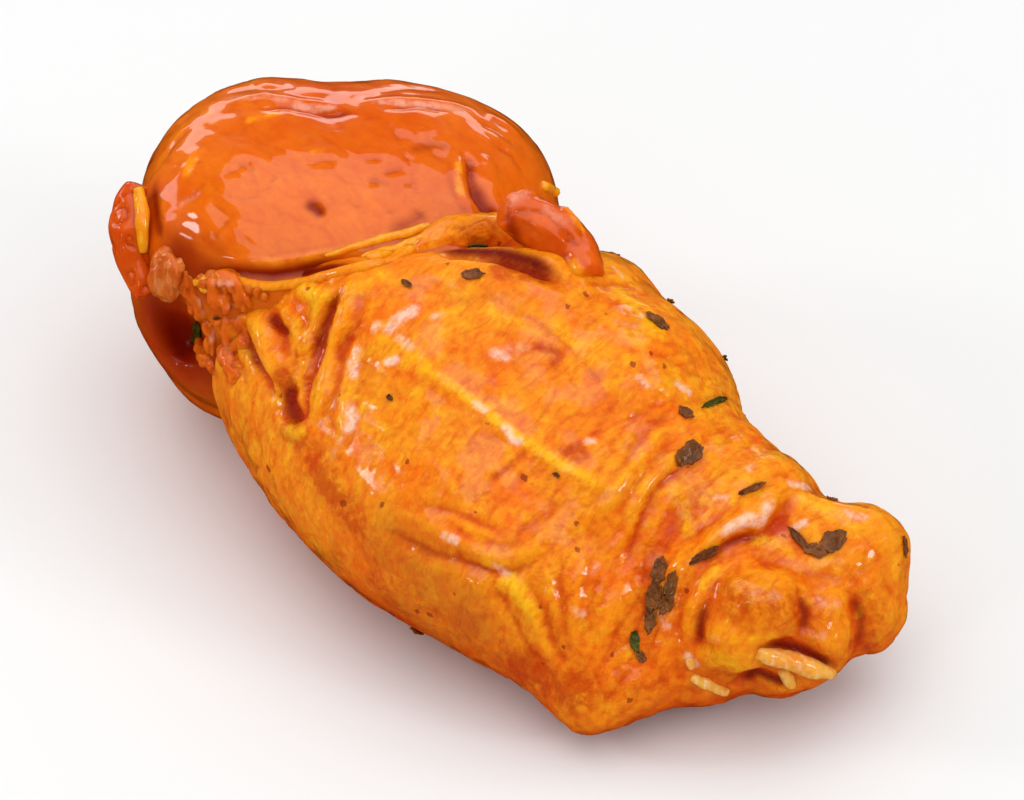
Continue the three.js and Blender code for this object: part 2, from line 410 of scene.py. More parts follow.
# %% Settle the points on the forms
# how far a point moves towards its neighbours, how often it is pulled back, and the millimetres between two looks
RELAX, PULLS, STEP = 0.6, 2, 0.02
LEAST_STEEP = 0.1


def settle(obj, distance, times):
    """Evens out an object's points over the surface where the distance is zero."""
    points, edges = points_of(obj), edges_of(obj)
    for _ in range(times):
        points += (neighbours_mean(points, edges) - points) * RELAX
        for _ in range(PULLS):
            here = distance(points)
            slope = np.stack([distance(points + STEP * axis) - here for axis in np.eye(3)], axis=1) / STEP
            steepness = np.maximum((slope * slope).sum(axis=1), LEAST_STEEP)
            points -= slope * (here / steepness)[:, None]
    move_points(obj, points)


# %% Press the skin's clay together
COARSE_VOXEL = 0.8

clay = clay_row(BONE_LINE, FLESH_RADIUS, gap=2.5)
clay.append(clay_ball(BELLY_MIDDLE, 1, BELLY_HALF, BELLY_TURN))
clay += clay_row(FAT_LINE, [FAT_RADIUS] * 3) + clay_row(RIM_LINE, [RIM_RADIUS] * 5)
clay += clay_row(WEB_CORNERS + WEB_CORNERS[:1], [WEB_THICKNESS / 2] * 4)
clay += [clay_ball(middle, radius) for middle, radius in KNUCKLES]
skin = joined("skin", clay)
voxels(skin, COARSE_VOXEL)
print("pressed", len(clay), "balls together")

# %% Cut the skin off and settle it
SKIN_VOXEL = 0.31

bpy.ops.object.mode_set(mode="EDIT")
bpy.ops.mesh.select_all(action="SELECT")
bpy.ops.mesh.bisect(plane_co=to_frame(cut_low), plane_no=cut_normal, use_fill=True, clear_outer=True)
bpy.ops.object.mode_set(mode="OBJECT")
voxels(skin, COARSE_VOXEL)
settle(skin, skin_distance, 16)
voxels(skin, SKIN_VOXEL)
settle(skin, skin_distance, 2)
print("the skin has", len(skin.data.polygons), "faces")

# %% [markdown]
# ## Tools for carving
#
# Folds, creases and wrinkles are carved as a sculptor does with a brush. A stroke is a line of pixels in the
# photograph, a width and a height. Its line is found on the surface by looking through those pixels from the
# camera, and the points near it are moved out for a ridge or in for a crease. A ridge has a round top, and a
# crease a sharp bottom. Finer unevenness comes from noise that is squeezed in one direction, which gives long
# wrinkles.

# %% Look at a surface through a pixel
# the pixels between two looks along a stroke
TRACE_GAP = 0.7


def surface_of(obj):
    return BVHTree.FromPolygons([v.co for v in obj.data.vertices], [p.vertices for p in obj.data.polygons])


def seen(tree, across, down):
    """Where the line of sight through a pixel meets a surface, and the surface's direction there."""
    place, normal, _, _ = tree.ray_cast(camera.location, sight(across, down))
    return place, normal


def traced(tree, pixels):
    """The line that a row of pixels makes on a surface, in the drawing's millimetres."""
    found = []
    for (x0, y0), (x1, y1) in zip(pixels[:-1], pixels[1:]):
        steps = max(int(math.hypot(x1 - x0, y1 - y0) / TRACE_GAP), 1)
        for step in range(steps + 1):
            place, _ = seen(tree, x0 + (x1 - x0) * step / steps, y0 + (y1 - y0) * step / steps)
            if place is not None:
                found.append(place)
    return to_drawing(found) if found else np.zeros((0, 3))


# %% Brushes for ridges and creases
# a line is long at so many widths; its ends fade over a share of its length, to a share of its strength
LONG_LINE, FADED_ENDS, FADED_TO = 2.5, 0.2, 0.2
SHARP_BOTTOM = 1.6


def nearness(points, line, width):
    """1 on a line and 0 at the width from it. A long line fades at its two ends."""
    near = np.zeros(len(points))
    if len(line) == 0:
        return near
    close = np.flatnonzero(((points > line.min(0) - width) & (points < line.max(0) + width)).all(axis=1))
    gaps = np.linalg.norm(points[close][:, None] - line[None], axis=2)
    place = gaps.argmin(axis=1) / max(len(line) - 1, 1)
    if np.linalg.norm(line[-1] - line[0]) > LONG_LINE * width:
        ends = np.clip(np.minimum(place, 1 - place) / FADED_ENDS, 0, 1) * (1 - FADED_TO) + FADED_TO
    else:
        ends = 1
    near[close] = np.clip(1 - gaps.min(axis=1) / width, 0, 1) * ends
    return near


def rounded(near):
    """Turns a straight slope from 0 to 1 into one that starts and ends gently."""
    return near * near * (3 - 2 * near)


def carve(obj, strokes):
    """Raises ridges and presses creases along strokes of (width, height, pixels)."""
    tree, points, normals = surface_of(obj), points_of(obj), normals_of(obj)
    rise = np.zeros(len(points))
    for width, height, pixels in strokes:
        near = nearness(points, traced(tree, pixels), width)
        rise += height * (rounded(near) if height > 0 else near**SHARP_BOTTOM)
    move_points(obj, points + normals * rise[:, None])


def shifted(obj, pixel, radius, across, rise, nearer=0, deep=True):
    """Shifts what is seen round a pixel, by millimetres. A deep shift takes all that lies behind it too."""
    points, ray = points_of(obj), np.array(sight(*pixel))
    place, _ = seen(surface_of(obj), *pixel)
    offset = points - to_drawing(camera.location if deep or place is None else place)
    if deep:
        offset -= (offset @ ray)[:, None] * ray
    near = rounded(np.clip(1 - np.linalg.norm(offset, axis=1) / radius, 0, 1))
    way = np.array(right) * across + np.array(up) * rise + np.array(back) * nearer
    move_points(obj, points + near[:, None] * way)


# %% Wrinkles and creases from noise
# how far apart the noises of two seeds lie
SEED_STEP = 31.7


def noise_at(points, size, seed):
    """Smooth noise from -1 to 1 with lumps of a size in millimetres, which may differ along X, Y and Z."""
    places = (points / np.array(size) + SEED_STEP * seed).tolist()
    return np.array([noise.noise(place) for place in places])


def wrinkle(obj, height, size, seed, where=1):
    """Moves an object's points in and out by noise."""
    points, normals = points_of(obj), normals_of(obj)
    move_points(obj, points + normals * (height * noise_at(points, size, seed) * where)[:, None])


def creases(obj, depth, size, seed, where=1, sharpness=6):
    """Presses thin creases where noise passes zero, with a soft swelling between them."""
    points, normals = points_of(obj), normals_of(obj)
    off = np.abs(noise_at(points, size, seed))
    line = np.clip(1 - off * sharpness, 0, 1) ** 1.5
    move_points(obj, points + normals * (depth * (off - line) * where)[:, None])


def softened(obj, where, rounds):
    """Rounds off an object's sharp places, where a value is 1."""
    points, edges = points_of(obj), edges_of(obj)
    for _ in range(rounds):
        points += (neighbours_mean(points, edges) - points) * 0.5 * where[:, None]
    move_points(obj, points)


def rested(obj):
    """Lets what hangs below the table spread flat on it."""
    points = points_of(obj)
    points[:, 2] = np.maximum(points[:, 2], 0)
    move_points(obj, points)


# %% [markdown]
# ## The skin's folds
#
# Skin is a loose bag. It bunches in folds where it was cut beside the shoulder, lies in long streaks down to
# the web, and is drawn up in a rim round the elbow. A yellow line of fat shows along the edge between the
# upper and the lower face. These are strokes, each placed where the photograph shows it.

# %% The folds beside the shoulder
FOLDS = [
    # width, height, pixels
    (1.1, -0.75, [(258, 387), (255, 392), (253, 398), (251, 405), (249, 411), (247, 418)]),
    (1.6, 0.8, [(262, 385), (260, 393), (257, 401), (255, 409), (253, 417), (250, 425)]),
    (1.0, -0.5, [(260, 400), (258, 405), (256, 410)]),
    (1.3, 0.35, [(265, 400), (262, 406), (260, 413), (259, 421), (258, 429), (255, 436)]),
    (0.8, 0.35, [(256, 386), (252, 393), (249, 400), (248, 408)]),
    (2.0, 0.8, [(233, 390), (233, 396), (236, 403), (240, 411), (243, 418)]),
    (1.6, 0.5, [(240, 391), (242, 396), (246, 402), (246, 408)]),
    (1.1, -0.7, [(237, 395), (240, 398), (244, 401)]),
    (0.9, -0.6, [(230, 398), (232, 405), (236, 412), (240, 419)]),
    (2.0, -0.9, [(243, 413), (243, 420), (246, 428)]),
    (1.0, -0.7, [(247, 411), (247, 418), (247, 425)]),
    (1.2, 0.8, [(243, 427), (246, 428)]),
    (0.9, -0.4, [(226, 401), (228, 408), (231, 413)]),
    (1.2, 0.4, [(247, 388), (252, 390)]),
    (0.9, -0.3, [(264, 388), (262, 394), (260, 399)]),
]
print("drew", len(FOLDS), "folds")

# %% The belly, the web and the streaks of the neck
FAT_EDGE = [
    (274, 407), (283, 411), (290, 416), (296, 420), (302, 425),
    (308, 430), (316, 435), (326, 441), (335, 444),
]
WEB_RIDGE = [
    (272, 450), (280, 453), (287, 457), (293, 460), (298, 463),
    (303, 465), (309, 463), (314, 459), (319, 455),
]
BELLY = [
    (1.3, 0.22, FAT_EDGE),
    (1.5, -0.25, [(307, 393), (315, 398), (322, 404), (329, 411), (334, 420)]),
    (1.0, -0.18, [(312, 432), (306, 437), (302, 441), (299, 445), (293, 448)]),
    (1.0, -0.2, [(321, 445), (316, 451), (311, 455), (306, 458)]),
    (1.3, 0.4, WEB_RIDGE),
    (1.2, -0.55, [(268, 454), (276, 459), (284, 463), (292, 465), (300, 468), (307, 468), (314, 464)]),
    (0.8, 0.2, [(284, 452), (291, 454), (297, 457), (303, 459)]),
    (0.8, -0.2, [(281, 449), (290, 451), (299, 455), (306, 458)]),
    (0.8, -0.12, [(300, 446), (306, 444), (312, 440), (318, 438)]),
    (4.0, 0.25, [(284, 466), (290, 473)]),
    # the folds that run to the point of the web
    (1.1, 0.38, [(301, 467), (306, 472), (311, 478), (314, 485), (318, 494), (323, 505)]),
    (0.9, -0.32, [(298, 468), (303, 475), (307, 482), (311, 490), (315, 498)]),
    (0.9, -0.2, [(309, 468), (313, 475), (316, 483), (319, 492)]),
    (0.8, 0.25, [(315, 466), (317, 473), (319, 482)]),
    (0.8, -0.16, [(321, 465), (320, 474), (321, 484), (322, 493)]),
    (0.8, 0.25, [(326, 464), (324, 474), (323, 484)]),
    (1.0, -0.16, [(332, 466), (329, 475), (326, 485), (324, 494)]),
    (1.3, 0.25, [(338, 470), (334, 480), (330, 490), (327, 500)]),
    (0.8, -0.14, [(337, 482), (333, 490), (329, 498)]),
    # the long streaks between the elbow and the web
    (0.9, 0.15, [(352, 424), (346, 431), (340, 439), (334, 447), (327, 454)]),
    (0.8, -0.16, [(349, 423), (343, 430), (337, 438), (331, 446), (324, 452)]),
    (0.8, -0.16, [(355, 426), (349, 433), (343, 441), (337, 450), (332, 458)]),
    (0.9, 0.15, [(357, 430), (351, 436), (346, 443), (341, 451), (336, 461)]),
    (1.0, -0.35, [(360, 437), (353, 439), (347, 444), (343, 452), (340, 461), (336, 471)]),
    (1.2, 0.2, [(359, 442), (352, 446), (348, 454), (345, 463)]),
    (0.8, -0.12, [(344, 421), (337, 428), (331, 435)]),
    (0.8, -0.12, [(338, 417), (332, 424), (327, 431)]),
    # under the rolled edge and the nub, and two small craters
    (1.7, -1.6, [(284, 378), (292, 377.5), (302, 378), (312, 380.5), (321, 386)]),
    (0.9, -0.16, [(311, 405), (315, 404), (319, 406), (318, 410)]),
    (1.1, -0.3, [(321, 434), (325, 432), (327, 435), (323, 436)]),
    (0.9, -0.15, [(327, 386), (335, 386), (343, 388)]),
    (1.0, 0.15, [(330, 389), (338, 390), (346, 394)]),
    (0.8, -0.12, [(345, 405), (352, 409), (359, 413)]),
    (0.8, 0.12, [(340, 411), (347, 415), (355, 418)]),
]
print("drew", len(BELLY), "more")

# %% The elbow
ELBOW = [
    (1.1, 0.9, [(356, 465), (361, 461), (366, 457), (371, 454), (376, 452), (379, 448), (382, 444)]),
    (1.1, -0.45, [(352, 461), (358, 457), (363, 453), (368, 449), (373, 446), (378, 442), (385, 440)]),
    (0.9, -0.65, [(357, 466), (361, 464), (366, 460), (371, 458), (376, 458), (381, 456), (384, 450)]),
    (1.1, 0.6, [(355, 494), (356, 485), (358, 477), (361, 471), (365, 467), (371, 464)]),
    (1.0, -0.45, [(362, 475), (359.5, 480), (359, 487)]),
    (1.4, 0.45, [(384, 445), (391, 447), (398, 450), (405, 452), (412, 456), (416, 461)]),
    (1.0, -0.35, [(382, 449), (384, 455), (388, 460), (393, 463), (400, 463)]),
    (0.9, -0.3, [(371, 467), (379, 466), (386, 467)]),
    # the knuckles and the gaps between them
    (3.3, 0.6, [(374, 474), (376, 476)]),
    (2.8, 0.45, [(379, 478), (381, 480)]),
    (2.2, 0.5, [(366, 487), (368, 489)]),
    (0.9, -0.3, [(364, 482), (370, 484), (377, 485)]),
    (0.8, -0.2, [(370, 479), (375, 480), (379, 477)]),
    (1.5, 0.35, [(382, 470), (384, 472)]),
    (1.5, 0.3, [(367, 473), (369, 471)]),
    (1.0, -0.45, [(387, 474), (389, 479), (388, 485)]),
    (2.6, 0.45, [(393, 476), (395, 477)]),
    (2.6, 0.5, [(395, 484), (398, 486)]),
    (0.9, -0.3, [(391, 478), (396, 476), (401, 478)]),
    (2.6, 0.6, [(363, 493), (368, 494), (371, 493)]),
    (1.0, -1.2, [(375, 489.5), (382, 488.5), (389, 490.5), (395, 493.5), (400, 495)]),
    (1.0, -0.9, [(370, 499), (375, 496), (380, 498), (386, 500)]),
    (1.0, -0.3, [(388, 466), (394, 469), (401, 470), (408, 469)]),
    (1.1, -0.5, [(402, 473), (405, 481), (404, 490)]),
    (2.4, 0.5, [(408, 474), (411, 482)]),
    (1.0, -0.25, [(411, 464), (413, 473), (414, 483)]),
]
print("drew", len(ELBOW), "more")

# %% Carve them all
carve(skin, FOLDS + BELLY + ELBOW)
print("carved", len(FOLDS + BELLY + ELBOW), "folds")

# %% [markdown]
# ## The skin's wrinkles
#
# Stretched skin is never smooth. Fine creases run across the neck and down the web, the cut edge and the
# elbow are coarser, and all of it has a soft unevenness. Wrinkles could be carved one by one as the folds
# were, but there are too many. Noise gives them, and a value at each point says where each kind belongs.

# %% Wrinkle the skin all over
skin_points = points_of(skin)
along, height_over = skin_points[:, 0], skin_points[:, 2]
on_neck = np.clip((along - 11) / 6, 0, 1) * np.clip((35 - along) / 4, 0, 1)
on_web = np.clip((along - 6) / 10, 0, 1) * np.clip((13 - height_over) / 6, 0, 1)
on_end = np.clip((along - 27) / 4, 0, 1)
near_cut = np.clip((-2 - along) / 8, 0, 1)
softened(skin, on_end, 8)
wrinkle(skin, 0.3, 8, seed=1)
creases(skin, 0.06, (1.6, 6, 4), seed=2, where=on_neck, sharpness=4)
creases(skin, 0.04, (0.8, 4, 2.4), seed=3, where=on_neck, sharpness=4)
creases(skin, 0.06, (3.4, 1.6, 2), seed=4, where=on_web, sharpness=4)
creases(skin, 0.09, 3.0, seed=5, where=np.maximum(near_cut, on_end * 0.6), sharpness=4)
creases(skin, 0.035, (2.6, 1.9, 1.9), seed=6, where=1 - on_end, sharpness=4)
wrinkle(skin, 0.06, 1.8, seed=8)
wrinkle(skin, 0.3, 2.6, seed=9, where=on_end)
wrinkle(skin, 0.04, 0.8, seed=7)
rested(skin)
print("the skin's lowest point is", round(float(points_of(skin)[:, 2].min()), 2), "mm above the table")

# %% [markdown]
# ## The shoulder meat
#
# The thick end is bare muscle. It is a firm, rounded block with a wet film over it, and a flatter muscle lies
# under it. Each starts as a ball, which is pushed out towards its box until its sides are as flat as the real
# ones. Both are remeshed into one piece. Its dips, a deep fold on the right and a small dent in front are
# carved.

# %% Block out the shoulder meat
MEAT_VOXEL = 0.3
# the middle, half the size along each axis, the turn and how square it is
SHOULDER = ((-20.6, -0.2, 17), (18.6, 14.6, 13.5), 38, 2.8)
UNDER_SHOULDER = ((-22, 0, 8.8), (17, 13.4, 9.6), 45, 2)


def muscle_block(middle, half, turn, squareness):
    bpy.ops.object.select_all(action="DESELECT")
    bpy.ops.mesh.primitive_ico_sphere_add(subdivisions=5, radius=MM)
    block = bpy.context.object
    points = np.array([v.co / MM for v in block.data.vertices])
    points *= ((np.abs(points) ** squareness).sum(axis=1) ** (-1 / squareness))[:, None] * np.array(half)
    c, s = math.cos(math.radians(turn)), math.sin(math.radians(turn))
    move_points(block, points @ np.array([[c, s, 0], [-s, c, 0], [0, 0, 1]]) + np.array(middle))
    return block


meat = joined("shoulder_meat", [muscle_block(*SHOULDER), muscle_block(*UNDER_SHOULDER)])
voxels(meat, MEAT_VOXEL)
modify(meat, "SMOOTH", factor=0.5, iterations=6)
print("the shoulder meat has", len(meat.data.polygons), "faces")

# %% The marks in the shoulder meat
GROOVE = [(291, 350), (291, 357), (293, 363), (297, 366)]
DENT = [(249.5, 364.5), (251.5, 366)]
MEAT_STROKES = [
    (1.0, 0.2, [(224, 335), (236, 333), (247, 335), (258, 336)]),
    (1.0, -0.2, [(230, 337), (243, 336.5), (254, 339), (264, 338)]),
    (1.0, 0.2, [(262, 335), (275, 334), (286, 335), (296, 337)]),
    (0.9, -0.2, [(268, 337), (280, 336), (290, 338)]),
    (1.0, -0.15, [(224, 332), (234, 331), (244, 331)]),
    (1.0, -0.15, [(266, 332), (276, 331), (288, 332)]),
    (1.2, 0.2, [(298, 338), (304, 341), (309, 345)]),
    (1.0, -0.2, [(296, 340), (302, 343), (308, 348)]),
    (0.8, -0.15, [(300, 347), (306, 350), (310, 356)]),
    # the deep fold on the right, and the dent in front
    (1.0, 0.4, GROOVE),
    (0.9, -0.5, [(293.5, 350), (294, 357), (296, 362)]),
    (1.4, -0.8, [(296, 361), (298, 364), (301, 367)]),
    (1.2, 0.15, [(299, 352), (301, 358)]),
    (1.0, -0.4, DENT),
    (0.8, 0.12, [(253, 363), (254, 367)]),
    # small marks in the film
    (0.8, -0.14, [(271, 354.5), (274, 354)]),
    (0.8, -0.12, [(274, 358), (278, 358), (279, 362)]),
    (0.8, -0.1, [(265, 351), (268, 351)]),
    (0.8, -0.08, [(266, 357), (270, 358)]),
    (0.8, -0.08, [(260, 363), (264, 366)]),
    (0.8, -0.08, [(267, 367), (272, 366)]),
    (1.2, -0.1, [(226, 355), (231, 352), (233, 357)]),
    (1.2, -0.12, [(232, 361), (237, 359), (240, 354)]),
    (1.2, -0.1, [(246, 351), (250, 352), (254, 351)]),
    (1.0, -0.05, [(276, 349), (284, 347), (290, 348)]),
    (1.0, -0.12, [(282, 365), (279, 368), (272, 371)]),
    (1.2, -0.12, [(222, 364), (226, 368), (222, 373)]),
    (1.0, -0.12, [(212, 364), (216, 361), (220, 357)]),
    (0.9, 0.12, [(210, 372), (215, 374), (219, 378)]),
    (1.4, 0.15, [(213, 354), (216, 350)]),
    (1.0, 0.15, [(203, 349), (208, 343), (215, 338)]),
    (1.0, -0.12, [(206, 354), (210, 347), (216, 341)]),
    (1.3, -0.6, [(216, 382), (226, 383), (238, 384), (250, 382), (262, 379)]),
    (0.9, 0.2, [(226, 380), (238, 381), (250, 379), (262, 376)]),
]
print("drew", len(MEAT_STROKES), "marks")

# %% Wrinkle and carve the shoulder meat
wrinkle(meat, 0.3, 9, seed=11)
wrinkle(meat, 0.055, 2.6, seed=12)
turned_away = np.clip(0.3 - normals_of(meat) @ np.array(back), 0, 0.5) * 2
wrinkle(meat, 0.45, 7, seed=16, where=turned_away)
creases(meat, 0.08, (9, 4, 3), seed=17, where=turned_away, sharpness=3)
on_top = np.clip((points_of(meat)[:, 2] - 25) / 3, 0, 1)
wrinkle(meat, 0.12, (4, 1.8, 1.8), seed=14, where=on_top)
MEAT_SHIFTS = [
    # pixel, radius, millimetres across, up and nearer, and whether it takes what lies behind
    # the top outline dips in the middle
    ((254, 330), 6, 0, -0.75),
    # there is a pocket under the tendon
    ((212, 398), 5, 0.5, 0, -3.5, False),
    ((215, 404), 4.5, 0, 0, -3, False),
]
for shift in MEAT_SHIFTS:
    shifted(meat, *shift)
carve(meat, MEAT_STROKES)
creases(meat, 0.03, (3.6, 1.8, 1.8), seed=13, sharpness=4)
wrinkle(meat, 0.03, 1.3, seed=15)
rested(meat)
print("the shoulder meat is", round(float(points_of(meat)[:, 2].max()), 1), "mm high")

# %% [markdown]
# ## Edges, strips and scraps
#
# Where the skin was cut it rolls into a thick, smooth lip against the muscle, and thins out to a ragged
# thread at the near end. Beside it are a nub of dark meat, a strip of meat with a strip of fat, the end of a
# tendon and a few torn shreds. Each is a strand: a Bezier curve with its own thickness at each point, turned
# into a mesh, remeshed so that its faces are small and even, and smoothed so that its ends are round.

# %% Draw strands
def strand_piece(line, radii, voxel=0.3, smooth=4):
    """A soft strand through points in the drawing's millimetres."""
    bpy.ops.object.select_all(action="DESELECT")
    bpy.ops.curve.primitive_bezier_curve_add(location=(0, 0, 0))
    curve = bpy.context.object
    knots = curve.data.splines[0].bezier_points
    knots.add(len(line) - 2)
    for knot, place, radius in zip(knots, to_frame(line), radii):
        knot.co, knot.radius = place, radius
        knot.handle_left_type = knot.handle_right_type = "AUTO"
    curve.data.bevel_depth = MM
    curve.data.bevel_resolution = 4
    curve.data.resolution_u = 12
    curve.data.use_fill_caps = True
    bpy.ops.object.convert(target="MESH")
    made = bpy.context.object
    voxels(made, voxel)
    modify(made, "SMOOTH", factor=0.5, iterations=smooth)
    return made


WAYS = ((0, -1), (1, 0), (-1, 0), (0, 1))
NUDGES = [(0, 0)] + [(across * step, down * step) for step in (1, 2, 3, 4) for across, down in WAYS]


def laid(tree, pixels, radii, sink=0.5):
    """Points along a surface, under a row of pixels, sunk into it by a share of each width."""
    line = []
    for (across, down), radius in zip(pixels, radii):
        for nudge in NUDGES:
            place, normal = seen(tree, across + nudge[0], down + nudge[1])
            if place is not None:
                line.append(to_drawing(place) + np.array(normal) * radius * (1 - 2 * sink))
                break
        else:
            print("no surface under the pixel", across, down)
    return line


def strands(name, tree, lines, sink, voxel=0.3, smooth=4):
    """One object out of strands that lie along a surface, each given as its pixels and its radii."""
    return joined(name, [strand_piece(laid(tree, *line, sink), line[1], voxel, smooth) for line in lines])


def beside(reference, pixels):
    """Points under a row of pixels, as far from the camera as a reference point is."""
    reach = (camera.location - Vector(to_frame(reference))).dot(back)
    rays = [sight(*pixel) for pixel in pixels]
    return [to_drawing(camera.location + ray * (-reach / ray.dot(back))) for ray in rays]


# %% The rolled edge of the skin
both_points = [v.co for piece in (skin, meat) for v in piece.data.vertices]
skin_faces = [list(p.vertices) for p in skin.data.polygons]
meat_faces = [[i + len(skin.data.vertices) for i in p.vertices] for p in meat.data.polygons]
both_surface = BVHTree.FromPolygons(both_points, skin_faces + meat_faces)

LIP = (
    [(306, 369), (300, 370.5), (294, 371), (288, 371.5), (283, 373), (278, 376), (272, 379), (266, 381)],
    [1.5, 1.9, 1.9, 1.7, 1.4, 1.0, 0.6, 0.4],
)
FILM_EDGE = (
    [(216, 386), (222, 384.5), (230, 386), (238, 387), (246, 386), (254, 384), (262, 382), (270, 380)],
    [0.3, 0.45, 0.5, 0.45, 0.5, 0.5, 0.5, 0.4],
)
lip = strands("lip", both_surface, [LIP], 0.8, 0.22)
film_edge = strands("film_edge", both_surface, [FILM_EDGE], 0.55, 0.18, 2)
edge = joined("skin_edge", [lip, film_edge])
wrinkle(edge, 0.16, 2.6, seed=21)
wrinkle(edge, 0.04, 0.8, seed=22)
print("the rolled edge has", len(edge.data.polygons), "faces")

# %% Threads of fat along the edge
THREADS = [
    ([(283, 369.5), (276, 372), (268, 374), (260, 376.5), (253, 378.5)], [0.3, 0.42, 0.4, 0.35, 0.25]),
    ([(281, 373), (276, 375.5), (270, 377), (263, 379)], [0.35, 0.5, 0.4, 0.25]),
    ([(272, 378), (268, 379), (265, 379.5)], [0.35, 0.6, 0.35]),
    ([(309.5, 371), (309.7, 373), (310.2, 375)], [0.5, 0.8, 0.55]),
    ([(218.5, 388), (220, 387)], [0.45, 0.4]),
    ([(314.5, 358.5), (318, 360.5)], [0.45, 0.45]),
]
fat_threads = strands("fat_threads", both_surface, THREADS, 0.4, 0.16, 2)
wrinkle(fat_threads, 0.12, 0.9, seed=23)
print("laid", len(THREADS), "threads")

# %% The nub of meat
cad_surface = surface_of(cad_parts["wing"])
NUB = ([(304, 366), (310.5, 367.5), (317, 371.5), (323, 377.5), (328.5, 384)], [1.5, 2.2, 2.5, 2.3, 1.6])
nub = strands("meat_nub", cad_surface, [NUB], 0.64, 0.22, 12)
NUB_STROKES = [
    (0.9, 0.35, [(303, 363), (309, 361), (315, 361), (321, 365), (326, 371)]),
    (1.0, -0.35, [(304, 367), (311, 365), (317, 367), (322, 372), (326, 378)]),
    (2.6, -0.3, [(311, 372), (316, 376)]),
]
carve(nub, NUB_STROKES)
wrinkle(nub, 0.15, 3.5, seed=31)
creases(nub, 0.06, (3.4, 1.6, 1.6), seed=32, sharpness=4)
wrinkle(nub, 0.05, 0.9, seed=39)
print("the nub has", len(nub.data.polygons), "faces")

# %% The hanging strip and its fat
STRIP = [(200, 358.5), (198.2, 363.5), (197.2, 370), (197.6, 376), (199.5, 382), (203, 389)]
STRIP_RADII = [1.0, 1.5, 1.65, 1.55, 1.4, 1.2]
STRIP_NEIGHBOUR = (202.5, 368)
beside_meat = to_drawing(seen(surface_of(meat), *STRIP_NEIGHBOUR)[0])
strip = joined("side_strip", [strand_piece(beside(beside_meat, STRIP), STRIP_RADII, 0.22)])
wrinkle(strip, 0.25, 2.5, seed=33)
creases(strip, 0.2, (1.4, 1.4, 4), seed=34)

FAT_STRIP = ([(200, 359), (200.4, 363), (200.8, 368), (201.1, 373), (201.4, 377.5)], [0.45, 0.66, 0.7, 0.62, 0.4])
fat_strip = strands("fat_strip", surface_of(strip), [FAT_STRIP], 0.4, 0.18)
wrinkle(fat_strip, 0.12, 1.2, seed=35)
print("the strip has", len(strip.data.polygons), "faces, its fat", len(fat_strip.data.polygons))

# %% The tendon's end
TENDON = [
    ([(209.5, 376.5), (208, 380), (206.8, 384), (206, 388)], [0.8, 1.1, 1.2, 0.8]),
    ([(212, 379), (211, 383), (209.5, 387), (208.5, 390)], [0.7, 1.1, 1.1, 0.7]),
]
tendon = strands("tendon_end", surface_of(meat), TENDON, 0.42, 0.18)
voxels(tendon, 0.16)
creases(tendon, 0.25, (1.2, 1.2, 4), seed=36, sharpness=3)
modify(tendon, "SMOOTH", factor=0.5, iterations=5)
print("the tendon's end has", len(tendon.data.polygons), "faces")

# %% The torn shreds
SHREDS = [
    ([(217, 387), (220, 386), (224, 385.5), (228, 387), (230, 390), (230, 394)], [0.7, 1.0, 1.1, 1.1, 1.0, 0.8]),
    ([(216, 389), (217, 393), (219, 396)], [0.9, 1.2, 1.0]),
    ([(220, 390), (223, 391), (226, 394)], [1.0, 1.1, 0.9]),
    ([(223, 396), (226, 400), (227, 405)], [0.9, 1.1, 0.9]),
    ([(220, 397), (221, 402), (221, 406)], [0.8, 1.0, 0.7]),
    ([(224, 404), (226, 409), (228, 414)], [0.9, 1.0, 0.7]),
    ([(229, 395), (230, 400), (230, 405)], [0.8, 0.9, 0.7]),
    ([(231, 388), (234, 388.5), (237, 390.5)], [0.6, 0.8, 0.5]),
    ([(213, 382), (214, 387), (214.5, 391)], [0.6, 0.9, 0.7]),
    ([(217, 402), (219, 407), (222, 411)], [0.7, 0.9, 0.7]),
]
shreds = strands("torn_shreds", both_surface, SHREDS, 0.66, 0.22)
voxels(shreds, 0.2)
modify(shreds, "SMOOTH", factor=0.5, iterations=3)
creases(shreds, 0.24, (0.9, 0.9, 2.6), seed=37, sharpness=4)
wrinkle(shreds, 0.16, 0.6, seed=38)
print("made", len(SHREDS), "shreds,", len(shreds.data.polygons), "faces")

# %% The cartilage
SLIVERS = [
    ([(357, 497.5), (361, 499.5), (367, 502)], [0.4, 0.62, 0.4]),
    ([(375.5, 491), (380, 492), (386, 493.5), (392, 495.5), (397, 497)], [0.55, 0.85, 0.95, 0.85, 0.5]),
    ([(382.5, 495.5), (384, 498), (385.5, 500.5)], [0.5, 0.6, 0.45]),
    ([(356, 492.5), (357.5, 495)], [0.4, 0.5]),
]
skin_surface = surface_of(skin)
slivers = strands("cartilage", skin_surface, SLIVERS, 0.5, 0.16, 3)
wrinkle(slivers, 0.15, (2.4, 1.2, 1.2), seed=41)
wrinkle(slivers, 0.06, 0.6, seed=42)
print("the cartilage has", len(slivers.data.polygons), "faces")

# %% [markdown]
# ## Herb leaves
#
# The marinade leaves crumbs of dried leaf on the skin. A leaf is a small grid, bent to a ragged oval, laid on
# the skin with its rim curled up a little, and given a thickness. They follow the photograph in front, and
# more of the same are scattered where it doesn't show.

